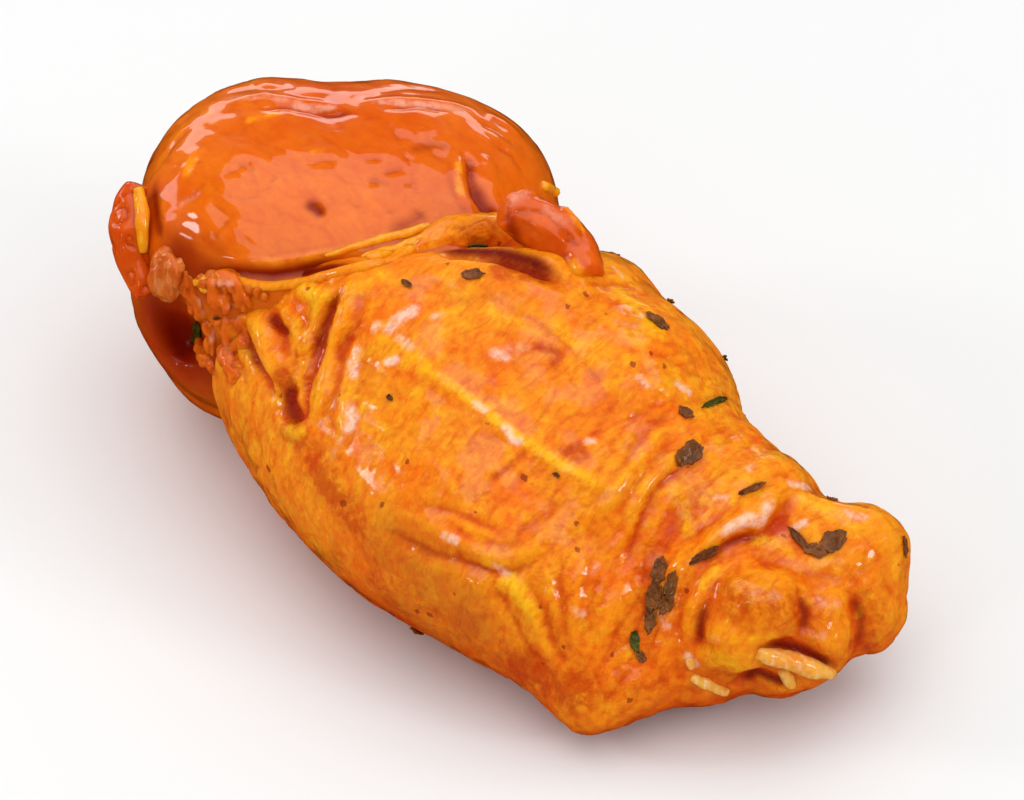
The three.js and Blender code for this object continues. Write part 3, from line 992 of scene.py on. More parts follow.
# %% Where the leaves lie
LEAVES = [
    # from, to, width in millimetres, and how green it is
    ((292, 384), (298, 384), 1.1, 0.0),
    ((344, 395), (350, 399.5), 1.2, 0.1),
    ((353.5, 421.5), (357, 424.5), 1.0, 0.0),
    ((360, 421.5), (366.5, 419), 0.6, 1.0),
    ((353, 437), (359.5, 432), 1.9, 0.1),
    ((349.5, 464), (346.5, 471.5), 1.5, 0.1),
    ((352, 467.5), (350, 476), 1.0, 0.2),
    ((347.5, 470.5), (345, 479), 1.5, 0.1),
    ((351, 474), (348.5, 480), 1.2, 0.1),
    ((346, 478), (344.5, 485.5), 1.0, 0.15),
    ((356.5, 465.5), (364, 460.5), 0.8, 0.0),
    ((340.5, 484.5), (341, 490.5), 0.8, 1.0),
    ((341.5, 490.5), (343.5, 493.5), 0.8, 0.1),
    ((384.5, 455.5), (390, 461.5), 0.7, 0.1),
    ((388.5, 461), (395, 463), 1.2, 0.1),
    ((393, 462), (400.5, 457), 1.8, 0.1),
    ((416.5, 458), (417, 464), 0.6, 0.0),
    ((217, 397), (215.5, 403), 0.9, 1.0),
    ((222, 395.5), (223.5, 397.5), 0.7, 0.2),
    ((370, 446.2), (377.5, 443), 0.5, 0.0),
    ((275, 385.5), (277.5, 387.5), 0.5, 0.0),
    ((318, 440), (319.5, 441), 0.35, 0.0),
    ((271, 418), (272, 419.5), 0.35, 0.0),
]
print("chose places for", len(LEAVES), "leaves")

# %% How a leaf is made
LEAF_CELLS, LEAF_THICKNESS = (14, 9), 0.12
# millimetres off the skin, and how far out on the leaf its rim starts to curl
LEAF_LIFT, CURLED_FROM = 0.09, 0.6


def keep(obj, name, values):
    """Stores a value at each point, for the material to read."""
    layer = obj.data.attributes.new(name, "FLOAT", "POINT")
    layer.data.foreach_set("value", np.asarray(values, np.float32))


def leaf(tree, start, end, width, seed):
    """A ragged flake of leaf from one point of a surface to another, given in metres."""
    bpy.ops.object.select_all(action="DESELECT")
    bpy.ops.mesh.primitive_grid_add(x_subdivisions=LEAF_CELLS[0], y_subdivisions=LEAF_CELLS[1], size=2)
    made = bpy.context.object
    middle = (start + end) / 2
    half = (end - start) / 2
    _, normal, _, _ = tree.find_nearest(middle)
    side = normal.cross(half).normalized() * width / 2 * MM
    for vertex in made.data.vertices:
        x, y, _ = vertex.co
        x, y = x * math.sqrt(1 - y * y / 2), y * math.sqrt(1 - x * x / 2)
        out_share = math.hypot(x, y)
        ragged = 1 + 0.32 * noise.noise(Vector((x * 2.1, y * 2.1, seed * 3.1))) * out_share
        ragged += 0.2 * noise.noise(Vector((x * 6, y * 6, seed * 1.7))) * out_share**3
        narrowed = 1 - 0.35 * max(x, 0) ** 2
        flat = middle + half * x * ragged + side * y * ragged * narrowed
        place, out, _, _ = tree.find_nearest(flat)
        curl = 0.3 * max(out_share - CURLED_FROM, 0) * (1 + noise.noise(Vector((x, y, seed * 2.3))) * 2)
        lift = LEAF_LIFT + curl + 0.14 * noise.noise(Vector((x * 2.6, y * 2.6, seed * 5.7)))
        vertex.co = place + out * lift * MM
    made.data.update()
    modify(made, "SOLIDIFY", thickness=LEAF_THICKNESS * MM, offset=0)
    return made


# %% Lay the leaves that the photograph shows
# left of this pixel a leaf may lie on the bare meat too
SHREDS_END = 230
random.seed(7)

made_leaves, tones = [], []
for number, (start, end, width, green) in enumerate(LEAVES):
    tree = both_surface if start[0] < SHREDS_END else skin_surface
    ends = [seen(tree, *pixel)[0] for pixel in (start, end)]
    if None in ends:
        print("a leaf's pixel misses the skin:", start, end)
        continue
    made_leaves.append(leaf(tree, *ends, width, number))
    tones += [green] * len(made_leaves[-1].data.vertices)
print("laid", len(made_leaves), "leaves in front")

# %% Scatter more where the photograph doesn't show
HIDDEN_SPOTS = 18
NEAREST_SHOULDER, NEAREST_ELBOW = -16, 34
# Y and Z of a line inside the meat, how far out each look back at the skin starts, and the lowest place
INSIDE, OUTSIDE, LOWEST = (-2, 12), 50 * MM, 2 * MM

while len(made_leaves) < len(LEAVES) + HIDDEN_SPOTS:
    turn, place = random.uniform(0, 2 * math.pi), random.uniform(NEAREST_SHOULDER, NEAREST_ELBOW)
    start = Vector(to_frame((place, *INSIDE)))
    ray = Vector((0, math.cos(turn), math.sin(turn)))
    hit, normal, _, _ = skin_surface.ray_cast(start + ray * OUTSIDE, -ray)
    if hit is None or hit.z < LOWEST or normal.dot(back) > 0.05 or normal.dot(ray) < 0.3:
        continue
    across = normal.cross(Vector([random.uniform(-1, 1) for _ in range(3)])).normalized()
    length = random.uniform(0.8, 3.6) * MM
    green = random.choice((0, 0.1, 0.3, 1))
    width = length / MM * random.uniform(0.3, 0.55)
    made_leaves.append(leaf(skin_surface, hit, hit + across * length, width, len(made_leaves)))
    tones += [green] * len(made_leaves[-1].data.vertices)
leaves = joined("herb_leaves", made_leaves)
keep(leaves, "green", tones)
print("laid", len(made_leaves), "leaves in all")

# %% [markdown]
# ## What the surface knows about itself
#
# Hollows are painted redder and darker, partly for the marinade that gathers there and partly as painted
# shade, and ridges more yellow, partly as painted light. Low skin that faces the table gets painted shade
# too. How deep each point lies is measured from the shape, by comparing the mesh with smoothed copies of it,
# and kept as a value on the mesh. A few rounds of smoothing find the fine creases, and many rounds find the
# broad valleys.

# %% Measure the hollows
RELIEF = [
    # piece, and how deep a full crease and a full valley are, in millimetres
    (skin, 0.05, 0.35),
    (meat, 0.04, 0.35),
    (edge, 0.05, 0.2),
    (nub, 0.05, 0.3),
    (strip, 0.05, 0.3),
    (shreds, 0.06, 0.3),
]
# rounds of smoothing that find creases, valleys and the broadest dips, and the most that a hollow counts
SMOOTHINGS = (3, 40, 140)
DEEPEST = 1.2


def hollows(obj, rounds):
    """How far each point lies under its smoothed surroundings, in millimetres."""
    points, edges = points_of(obj), edges_of(obj)
    smooth = points
    for _ in range(rounds):
        smooth = neighbours_mean(smooth, edges)
    return ((smooth - points) * normals_of(obj)).sum(axis=1)


def spread(values, low, high):
    """Values between two limits, brought to 0 to 1."""
    return np.clip((values - low) / (high - low), 0, 1)


for piece, fine, broad in RELIEF:
    close, wide, widest = [hollows(piece, rounds) for rounds in SMOOTHINGS]
    # painted shade and painted light: the hollow value darkens the colour later, the ridge value lightens it
    valley = spread(close, 0, fine) * 0.5 + spread(wide, 0, broad) * 0.6 + spread(widest, 0.1, 0.9) * 0.4
    keep(piece, "hollow", np.minimum(valley, DEEPEST))
    keep(piece, "ridge", spread(-close, 0, fine) * 0.5 + spread(-wide, 0, broad) * 0.5)
print("measured", len(RELIEF), "pieces")

# %% Find what lies low and faces down
# painted shade: skin that faces down near the table is darkened later, as shade falls there
turned_down = spread(-normals_of(skin)[:, 2], -0.35, 0.5)
near_table = spread(-points_of(skin)[:, 2], -15, -6)
keep(skin, "low", turned_down * near_table)
print(round(float((turned_down * near_table).mean() * 100)), "% of the skin's points lie low and face down")

# %% [markdown]
# ## Marks painted one by one
#
# Strokes in the photograph's pixels add what the shape can't tell: the fat that shows through the skin, with
# a little painted light on the neck, painted highlights where the wet surface glints, red marks that are
# partly painted shade, brown marks, and painted shade in the creases, the gaps and under the rolled lip.
# They are painted as the folds were carved, but the brush leaves a value from 0 to 1 instead of a height. The
# materials read the values later.

# %% The paint brush
def paint(obj, name, strokes):
    """Keeps a value from 0 to 1 at each point, from strokes of (width, strength, pixels)."""
    tree, points = surface_of(obj), points_of(obj)
    value = np.zeros(len(points))
    for width, strength, pixels in strokes:
        near = nearness(points, traced(tree, pixels), width)
        value = np.maximum(value, strength * rounded(near))
    keep(obj, name, value)
    print(obj.name, "has", len(strokes), "strokes of", name)


# %% Fat that shows through the skin, and a little painted light on the neck
SKIN_FAT_AND_LIGHT = [
    # width, strength, pixels
    (0.9, 1, FAT_EDGE),
    (1.7, 0.6, [(276, 405), (281, 409), (286, 412)]),
    (1.8, 0.8, [(247, 388), (252, 390), (250, 393)]),
    (2.0, 0.5, [(266, 396), (271, 402), (278, 406)]),
    (1.6, 0.6, [(298, 393), (303, 396), (308, 397)]),
    (1.4, 0.5, [(283, 392), (290, 396), (296, 399)]),
    (1.8, 0.6, [(318, 397), (322, 401), (326, 404)]),
    (2.6, 0.7, [(331, 389), (338, 389), (344, 395), (349, 406)]),
    (2.4, 0.5, [(328, 405), (336, 410), (341, 408)]),
    (1.6, 0.5, [(333, 415), (338, 413)]),
    (1.4, 0.5, [(343, 398), (340, 403), (345, 402)]),
    (1.6, 0.6, [(316, 434), (320, 437), (327, 441), (334, 445)]),
    (1.0, 0.6, [(350, 426), (344, 433), (338, 441), (333, 446)]),
    (0.9, 0.6, [(346, 440), (341, 447)]),
    (1.6, 0.9, [(305, 470), (309, 475), (312, 480)]),
    (1.2, 0.5, [(294, 455), (297, 458)]),
    (1.6, 0.6, [(352, 445), (355, 450), (356, 456)]),
    (1.6, 0.6, [(365, 448), (372, 447), (378, 444)]),
    (2.0, 0.7, [(384, 446), (392, 449), (398, 452), (402, 456), (410, 458)]),
    (1.4, 0.6, [(371, 460), (378, 459), (384, 462), (388, 466)]),
    (1.2, 0.7, [(358, 474), (362, 469), (366, 466)]),
    (2.0, 0.7, [(362, 492), (368, 493), (371, 496)]),
    (1.2, 0.5, [(374, 487), (380, 486)]),
    (1.4, 0.4, [(397, 478), (401, 482)]),
    # partly painted light: a broad lighter wash over the neck, which the lamps reach less
    (3.0, 0.4, [(360, 434), (368, 440), (376, 441)]),
    (1.6, 0.6, [(257, 385), (262, 388), (268, 384), (274, 383)]),
    (1.6, 0.4, [(284, 385), (290, 389), (300, 389)]),
    # partly painted light on the neck, as above
    (1.6, 0.4, [(372, 433), (380, 434), (386, 437)]),
    (2.0, 0.4, [(345, 410), (352, 412), (358, 416)]),
    (1.0, 0.5, [(407, 475), (404, 480)]),
    (1.0, 0.5, [(233, 392), (234, 399), (237, 404)]),
    (1.0, 0.8, [(243, 427), (246, 428)]),
]
paint(skin, "fat", SKIN_FAT_AND_LIGHT)

# %% Painted highlights: pale glints on the wet skin
SKIN_PAINTED_GLINTS = [
    (1.1, 1, [(271, 399), (274, 396), (278, 394)]),
    (0.9, 0.9, [(271, 408.5), (273, 408)]),
    (1.0, 0.6, [(274, 402), (277, 404)]),
    (0.8, 0.9, [(267, 399), (268, 398)]),
    (0.9, 0.8, [(263, 402), (261, 408), (261, 415)]),
    (1.1, 0.9, [(258, 420), (261, 424), (259, 430)]),
    (0.9, 0.4, [(258, 430), (255, 435)]),
    (0.8, 0.6, [(252, 426), (254, 428)]),
    (0.75, 1, [(294, 420), (297, 421), (300, 423)]),
    (0.75, 1, [(304, 427), (306, 430), (308, 431)]),
    (1.0, 0.8, [(301, 406), (304, 407)]),
    (1.2, 0.4, [(305, 405), (310, 404)]),
    (0.8, 0.6, [(284, 395.5), (286, 395)]),
    (0.8, 1, [(287, 458), (290, 459)]),
    (0.8, 0.6, [(301, 466), (305, 469)]),
    (0.8, 0.5, [(329, 468), (330, 466)]),
    (0.8, 0.6, [(324, 479), (326, 480)]),
    (0.8, 0.7, [(342, 413), (344, 415)]),
    (0.8, 0.7, [(353, 415), (356, 417)]),
    (0.7, 0.6, [(327, 431), (329, 431)]),
    (0.7, 0.6, [(369, 430), (370, 430)]),
    (0.8, 0.6, [(373, 439), (374, 438)]),
    (0.8, 0.7, [(364, 447), (366, 447)]),
    (1.2, 1, [(364, 459), (368, 455), (373, 453), (377, 454), (379, 449), (381, 446)]),
    (0.9, 0.7, [(385, 443), (390, 444)]),
    (0.8, 0.7, [(399, 450), (403, 452), (408, 453)]),
    (0.7, 0.9, [(387, 455), (389, 454)]),
    (1.6, 0.35, [(371, 475), (378, 474), (384, 475)]),
    (1.2, 0.4, [(392, 476), (398, 477)]),
    (1.0, 0.4, [(389, 485), (394, 486)]),
    (0.8, 0.6, [(348, 480), (350, 483)]),
    (0.8, 0.8, [(356, 492), (358, 494)]),
    (0.8, 0.4, [(361, 487), (366, 487)]),
    (0.8, 0.5, [(335, 382), (337, 384)]),
    (1.0, 0.35, [(333, 396), (339, 398), (345, 399)]),
]
paint(skin, "pale", SKIN_PAINTED_GLINTS)

# %% Red marks on the skin, and painted shade in its creases, gaps, under the lip and low down
SKIN_RED_AND_SHADE = [
    (1.1, 0.7, [(311, 405), (315, 404), (319, 406), (318, 410)]),
    (1.3, 0.7, [(322, 434), (325, 433.5)]),
    (3.0, 0.45, [(284, 388), (298, 390), (312, 392)]),
    # painted shade along the low underside of the belly and the web
    (5.0, 0.5, [(258, 450), (272, 468), (290, 482), (306, 493)]),
    (4.5, 0.9, [(298, 490), (312, 497), (322, 502), (334, 499)]),
    (2.0, 0.6, [(317, 482), (322, 494)]),
    (1.0, 0.5, [(296, 428), (300, 430), (303, 433)]),
    (1.0, 0.6, [(311, 433), (306, 437), (301, 441), (298, 445)]),
    (1.0, 0.4, [(291, 441), (295, 445), (292, 447)]),
    (1.6, 0.6, [(270, 455), (278, 460), (287, 464)]),
    # painted shade in the dark hollow at the far left, and along the lower edge where the next piece presses
    # close
    (2.0, 0.9, [(240, 412), (244, 418), (244, 426)]),
    (3.2, 0.9, [(243, 428), (250, 438), (258, 449), (268, 462)]),
    (3.0, 0.7, [(264, 466), (276, 482), (292, 494), (308, 500)]),
    (1.2, 0.5, [(350, 440), (344, 448), (341, 458)]),
    (1.0, 0.4, [(330, 386), (340, 388), (350, 392)]),
    (1.3, 0.5, [(347, 400), (353, 405), (360, 409)]),
    (1.4, 0.35, [(300, 455), (306, 460), (312, 458)]),
    (2.5, 0.4, [(338, 455), (342, 465), (344, 480)]),
    (3.0, 0.12, [(355, 430), (365, 428), (372, 433)]),
    # at the elbow: painted shade in its groove and in the gaps between its knuckles, and a redder knuckle
    (1.2, 0.6, [(384, 449), (383, 455)]),
    (1.6, 0.7, [(386, 470), (388, 478), (386, 486)]),
    (4.5, 0.7, [(368, 475), (378, 479), (390, 480)]),
    (2.4, 0.35, [(393, 478), (398, 485)]),
    (1.0, 0.8, [(358, 490), (360, 483), (363, 476)]),
    (2.6, 0.6, [(405, 470), (410, 480), (406, 488)]),
    (1.6, 0.8, [(402, 488), (408, 489)]),
    # painted shade along the low edge by the table
    (3.5, 0.6, [(328, 501), (340, 500), (354, 500)]),
    # painted shadow under the rolled lip and the nub
    (1.8, 0.8, [(283, 377), (300, 378), (318, 384)]),
    (1.4, 0.35, [(280, 386), (290, 386), (300, 386)]),
    (0.8, 0.6, [(257, 403), (258, 408)]),
    (0.8, 0.7, [(237, 396), (240, 399), (244, 402)]),
    # painted shade in the trough under the thin edge, and in the slot under the lip and the nub
    (1.6, 1.0, [(222, 385), (236, 385), (248, 383), (262, 381)]),
    (2.4, 1.0, [(298, 381), (308, 383), (317, 387)]),
]
paint(skin, "red", SKIN_RED_AND_SHADE)

# %% Brown patches in the skin, and painted shade in its deep creases and gaps
SKIN_DARK = [
    (5.0, 0.5, [(272, 459), (280, 465), (288, 472), (294, 482)]),
    (3.0, 0.5, [(276, 478), (286, 488)]),
]
SKIN_PAINTED_SHADE = [
    # painted shade: near-black red under the rolled lip, in the trough under the thin edge, in the elbow's gaps
    # and the deepest folds
    (1.3, 1.0, [(282, 377.5), (292, 377), (302, 377.5), (312, 380), (321, 386)]),
    (2.1, 0.7, [(296, 379.5), (304, 381), (312, 384), (319, 387)]),
    (1.3, 1.0, [(218, 386), (230, 385.5), (242, 384.5), (254, 382), (264, 380)]),
    (0.9, 1.0, [(375, 489.5), (382, 488.5), (389, 490.5), (395, 493.5), (400, 495)]),
    (0.9, 0.9, [(370, 499), (375, 496), (380, 498), (386, 500)]),
    (0.9, 0.7, [(361, 477), (359.5, 482), (359.5, 488)]),
    (0.8, 0.7, [(387.5, 475), (389, 480), (388, 485)]),
    (0.7, 0.6, [(357, 466), (361, 464), (366, 460), (371, 458), (376, 458)]),
    (0.7, 0.6, [(402, 474), (405, 481), (404, 490)]),
    (1.2, 0.8, [(243, 414), (243.5, 421), (246, 428)]),
    (0.8, 0.7, [(258, 388), (255, 393), (252, 401), (250, 408)]),
    (0.9, 0.7, [(237, 395), (240, 398), (244, 401)]),
    (0.8, 0.6, [(230, 398), (232, 405), (236, 412)]),
]
paint(skin, "dark", SKIN_DARK)
paint(skin, "deep", SKIN_PAINTED_SHADE)

# %% Marks on the bare meat: fat, red marks, painted shade and painted highlights
MEAT_FAT = [
    (1.0, 0.9, [(214, 355), (216, 350)]),
    (0.8, 0.6, [(250, 349), (252, 348)]),
    (1.0, 0.8, [(232, 340), (239, 338)]),
    (0.8, 0.9, [(291, 350), (291, 357), (292, 363)]),
    (1.2, 0.5, [(206, 362), (207, 370)]),
    (2.4, 0.4, [(207, 350), (212, 342), (219, 338)]),
    (1.0, 0.7, [(228, 380), (238, 380.5), (250, 379), (262, 376), (275, 371)]),
]
MEAT_RED_AND_SHADE = [
    # painted shade along the bottom of the deep fold on the right
    (0.7, 0.8, [(294, 351), (294.5, 357), (296, 361)]),
    (1.2, 0.9, [(296, 361), (298, 365), (301, 367)]),
    (1.1, 0.9, DENT),
    (1.0, 0.5, [(251, 338), (256, 338.5), (261, 338)]),
    # painted shade in the trough under the thin edge
    (1.6, 0.9, [(216, 382), (226, 383), (238, 383.5), (250, 382), (262, 379)]),
    (4.0, 0.9, [(212, 378), (216, 383), (222, 386)]),
    # painted shade in the pocket under the tendon, round the tendon and in the gap behind the strip
    (6.5, 1.0, [(206, 394), (210, 400), (216, 408), (224, 412)]),
    (3.0, 0.9, [(205, 390), (212, 392)]),
    (1.0, 1.0, [(204.5, 357), (205.5, 366), (207, 375)]),
    (1.0, 0.4, [(276, 349), (284, 347), (290, 348)]),
    (1.2, 0.5, [(282, 365), (278, 369), (270, 372)]),
    (1.4, 0.4, [(216, 372), (222, 376), (226, 380)]),
]
MEAT_PAINTED_GLINTS = [
    # painted highlights: pale reflections along the shoulder's top and left edges, and a few glints
    (1.0, 0.7, [(203, 352), (206, 345), (211, 340)]),
    (1.0, 0.6, [(222, 334), (236, 333), (250, 335)]),
    (1.0, 0.8, [(242, 335), (250, 337), (258, 336)]),
    (1.0, 0.8, [(262, 334), (275, 335), (286, 336), (297, 338)]),
    (0.9, 0.6, [(266, 331), (278, 330.5), (288, 331)]),
    (0.8, 0.5, [(212, 364), (217, 361)]),
    (0.8, 0.4, [(297, 339), (304, 342)]),
]
paint(meat, "fat", MEAT_FAT)
paint(meat, "red", MEAT_RED_AND_SHADE)
paint(meat, "pale", MEAT_PAINTED_GLINTS)

# %% Marks on the rolled edge, the nub and the shreds, with some painted shade and painted highlights
EDGE_RED_AND_SHADE = [
    # redder along the lip, and darker on its underside as painted shade
    (2.0, 0.9, [(304, 374), (294, 375.5), (285, 376.5)]),
    (1.4, 0.7, [(304, 369), (296, 370), (288, 371)]),
]
NUB_FILM_AND_GLINTS = [
    # the pale edge of the nub's film, and a painted highlight in its middle
    (1.1, 0.6, [(303, 364), (309, 361), (315, 361), (321, 364)]),
    (1.0, 0.5, [(316, 365), (321, 369)]),
]
NUB_RED = [
    (1.2, 0.8, [(305, 368), (308, 376), (316, 382)]),
    (1.4, 0.25, [(302, 364), (307, 367), (311, 373)]),
]
NUB_FAT = [
    (0.8, 0.8, [(310, 360), (317, 361), (323, 366), (327, 373)]),
    (1.7, 0.9, [(323, 382), (327, 387)]),
]
SHRED_PAINTED_GLINTS = [
    # painted highlights: glints on the wet shreds
    (0.8, 0.8, [(218, 391), (219, 394)]),
    (0.8, 0.7, [(222, 386), (226, 386)]),
    (0.8, 0.6, [(226, 393), (228, 396)]),
    (0.7, 0.8, [(221, 402), (222, 400)]),
    (0.7, 0.5, [(225, 404), (227, 408)]),
]
SHRED_FAT = [
    (0.9, 0.5, [(226, 399), (229, 404)]),
    (0.8, 0.6, [(231, 394), (231, 399)]),
]
paint(edge, "red", EDGE_RED_AND_SHADE)
paint(nub, "pale", NUB_FILM_AND_GLINTS)
paint(nub, "red", NUB_RED)
paint(nub, "fat", NUB_FAT)
paint(shreds, "pale", SHRED_PAINTED_GLINTS)
paint(shreds, "fat", SHRED_FAT)

# %% [markdown]
# ## Patterns for the finishes
#
# Four patterns make up the look of wet, marinated meat. Mottling shades one colour into the next in patches
# of two sizes. Brushed marks give the painted strokes an uneven edge. Creasing draws fine lines. Specks are
# the grains of spice that are left in the oil. Each is a node group with named numbers, made once, so that
# every finish can use it at its own size, and more than once.

# %% Helpers for nodes
def linear(red, green, blue):
    """A colour as a picture editor gives it, from 0 to 255, as the shader wants it."""
    shares = [c / 255 for c in (red, green, blue)]
    return tuple(share / 12.92 if share <= 0.04 else ((share + 0.055) / 1.055) ** 2.4 for share in shares) + (1,)


def fill(tree, node, inputs):
    """Joins a node's inputs to the sockets that are given for them, and sets the others to their values."""
    for name, value in inputs.items():
        if isinstance(value, bpy.types.NodeSocket):
            tree.links.new(value, node.inputs[name])
        else:
            node.inputs[name].default_value = value
    return node


def put(tree, kind, inputs=None, **options):
    """Adds a node, sets its options, and fills its inputs."""
    made = tree.nodes.new("ShaderNode" + kind)
    for name, value in options.items():
        setattr(made, name, value)
    return fill(tree, made, inputs or {})


def shade(tree, share, a, b):
    """Mixes two colours by a share."""
    return put(tree, "Mix", {0: share, 6: a, 7: b}, data_type="RGBA").outputs[2]


def layered(tree, colour, layers):
    """Lays colours over one another, each with the share that it takes."""
    for share, tint in layers:
        colour = shade(tree, share, colour, tint)
    return colour


def between(tree, value, low, high, bottom=0.0, top=1.0):
    """Brings a value from between two limits to another range, smoothly."""
    inputs = {"Value": value, "From Min": low, "From Max": high, "To Min": bottom, "To Max": top}
    return put(tree, "MapRange", inputs, interpolation_type="SMOOTHSTEP").outputs[0]


def total(tree, a, b, kind="ADD"):
    return put(tree, "Math", {0: a, 1: b}, operation=kind).outputs[0]


def times(tree, a, b):
    return total(tree, a, b, "MULTIPLY")


def grain(tree, place, scale, detail, **more):
    """The value of a noise texture."""
    return put(tree, "TexNoise", {"Vector": place, "Scale": scale, "Detail": detail, **more}).outputs[0]


def marked(tree, name):
    """A value that was kept on the mesh."""
    return put(tree, "Attribute", attribute_name=name).outputs["Fac"]


# %% Helpers for shared patterns
def group(name, inputs, outputs):
    """An empty node group with named number inputs and outputs, and its two end nodes."""
    tree = bpy.data.node_groups.new(name, "ShaderNodeTree")
    for socket, value in inputs.items():
        kind = "NodeSocketVector" if value is None else "NodeSocketFloat"
        made = tree.interface.new_socket(socket, in_out="INPUT", socket_type=kind)
        if value is not None:
            made.default_value = value
    for socket in outputs:
        tree.interface.new_socket(socket, in_out="OUTPUT", socket_type="NodeSocketFloat")
    return tree, tree.nodes.new("NodeGroupInput").outputs, tree.nodes.new("NodeGroupOutput").inputs


def use(tree, shared, **inputs):
    """Places a shared pattern, filled with its own numbers, and gives what it puts out."""
    made = tree.nodes.new("ShaderNodeGroup")
    made.node_tree = shared
    return fill(tree, made, inputs).outputs


def scale_for(tree, size):
    """A texture's scale, from the size of its lumps in millimetres."""
    return total(tree, 1 / MM, size, "DIVIDE")


# %% Mottling
mottling, given, gives = group("mottling", {"Place": None, "Size": 3.0, "Contrast": 0.5}, ["Patches"])
scale = scale_for(mottling, given["Size"])
wide = grain(mottling, given["Place"], times(mottling, scale, 0.35), 3.0)
close = grain(mottling, given["Place"], scale, 6.0, Roughness=0.62, Distortion=0.8)
both = total(mottling, times(mottling, wide, 0.45), times(mottling, close, 0.55))
reach = times(mottling, given["Contrast"], 0.22)
patches = between(mottling, both, total(mottling, 0.5, reach, "SUBTRACT"), total(mottling, 0.5, reach))
mottling.links.new(patches, gives["Patches"])
print("mottling has", len(mottling.nodes), "nodes")

# %% Brushed marks
brushed, given, gives = group("brushed", {"Place": None, "Size": 1.0, "Value": 0.0}, ["Mark"])
uneven = grain(brushed, given["Place"], scale_for(brushed, given["Size"]), 5.0, Roughness=0.7)
uneven = total(brushed, times(brushed, uneven, 3.6), 0.8, "SUBTRACT")
brushed.links.new(between(brushed, times(brushed, given["Value"], uneven), 0.12, 1.05), gives["Mark"])
print("brushed has", len(brushed.nodes), "nodes")

# %% Creasing
creasing, given, gives = group("creasing", {"Place": None, "Size": 2.0, "Width": 0.04}, ["Lines"])
waves = grain(creasing, given["Place"], scale_for(creasing, given["Size"]), 2.0, Distortion=0.6)
off = total(creasing, total(creasing, waves, 0.5, "SUBTRACT"), 0, "ABSOLUTE")
creasing.links.new(between(creasing, off, 0.0, given["Width"], 1.0, 0.0), gives["Lines"])
print("creasing has", len(creasing.nodes), "nodes")

# %% Specks
RAGGED_BY = 0.6
specks, given, gives = group("specks", {"Place": None, "Size": 1.0, "Amount": 0.3}, ["Grains"])
scale = scale_for(specks, given["Size"])
ragged = put(specks, "TexNoise", {"Vector": given["Place"], "Scale": times(specks, scale, 2.5), "Detail": 2.0})
shift = put(specks, "VectorMath", {0: ragged.outputs["Color"], "Scale": RAGGED_BY * MM}, operation="SCALE")
moved = put(specks, "VectorMath", {0: given["Place"], 1: shift.outputs[0]}, operation="ADD").outputs[0]
cells = put(specks, "TexVoronoi", {"Vector": moved, "Scale": scale}).outputs
chances = put(specks, "SeparateColor", {"Color": cells["Color"]}).outputs
some = total(specks, chances[0], given["Amount"], "LESS_THAN")
reach = total(specks, times(specks, chances[1], 0.22), 0.08)
dot = between(specks, total(specks, cells["Distance"], reach, "SUBTRACT"), -0.03, 0.04, 1.0, 0.0)
specks.links.new(times(specks, dot, some), gives["Grains"])
print("specks has", len(specks.nodes), "nodes")

# %% [markdown]
# ## The finish of wet skin
#
# Marinated skin is bright orange from paprika and oil, more yellow where fat lies under it and redder where
# marinade gathers. Painted shade makes its hollows, creases, gaps and low underside a darker red, painted
# light makes its ridges more yellow, and painted highlights lie on it as pale glints. It lets a little light
# in, so it glows at its edges; subsurface scattering gives that. The oil over it is a clear coat, strong in
# patches, whose fine bumps break the lights into small glints.

# %% How every finish starts
def finish(name, coat_roughness, glow, glow_scale):
    """A new material with the numbers that are the same all over, and the nodes to fill in."""
    material = bpy.data.materials.new(name)
    material.use_nodes = True
    tree = material.node_tree
    same_all_over = {
        "IOR": 1.4,
        "Specular IOR Level": 0.1,
        "Coat IOR": 1.45,
        "Coat Roughness": coat_roughness,
        "Subsurface Weight": glow,
        "Subsurface Radius": (1.0, 0.32, 0.1),
        "Subsurface Scale": glow_scale * MM,
    }
    shader = fill(tree, tree.nodes["Principled BSDF"], same_all_over)
    return material, tree, shader, put(tree, "TexCoord").outputs["Object"]


def bumped(tree, height, strength, depth):
    """The surface's direction, turned by a height in millimetres."""
    return put(tree, "Bump", {"Height": height, "Strength": strength, "Distance": depth * MM}).outputs["Normal"]


def mottled(tree, place, size, contrast):
    return use(tree, mottling, Place=place, Size=size, Contrast=contrast)["Patches"]


def brush(tree, place, name, size, strength):
    """A painted value with an uneven edge."""
    return times(tree, use(tree, brushed, Place=place, Size=size, Value=marked(tree, name))["Mark"], strength)


# %% The patterns in the skin
skin_material, tree, shader, place = finish("marinated_skin", 0.09, 0.25, 1.0)
across = put(tree, "Mapping", {"Vector": place, "Scale": (1, 0.35, 0.5)}).outputs[0]
patches, broad, fine = [mottled(tree, place, *look) for look in ((2.0, 0.8), (8.0, 0.9), (0.45, 0.8))]
streaks = mottled(tree, across, 0.8, 0.6)
lines = use(tree, creasing, Place=across, Size=1.8, Width=0.09)["Lines"]
pores = grain(tree, across, 2400.0, 1.0)
grains = use(tree, specks, Place=place, Size=1.3, Amount=0.07)["Grains"]
# low and deep carry painted shade, red is partly painted shade, and pale is painted highlights
low = times(tree, marked(tree, "low"), between(tree, broad, 0, 1, 0.5, 0.85))
red, deep = brush(tree, place, "red", 1.2, 0.7), marked(tree, "deep")
print("the skin's finish has", len(tree.nodes), "nodes so far")

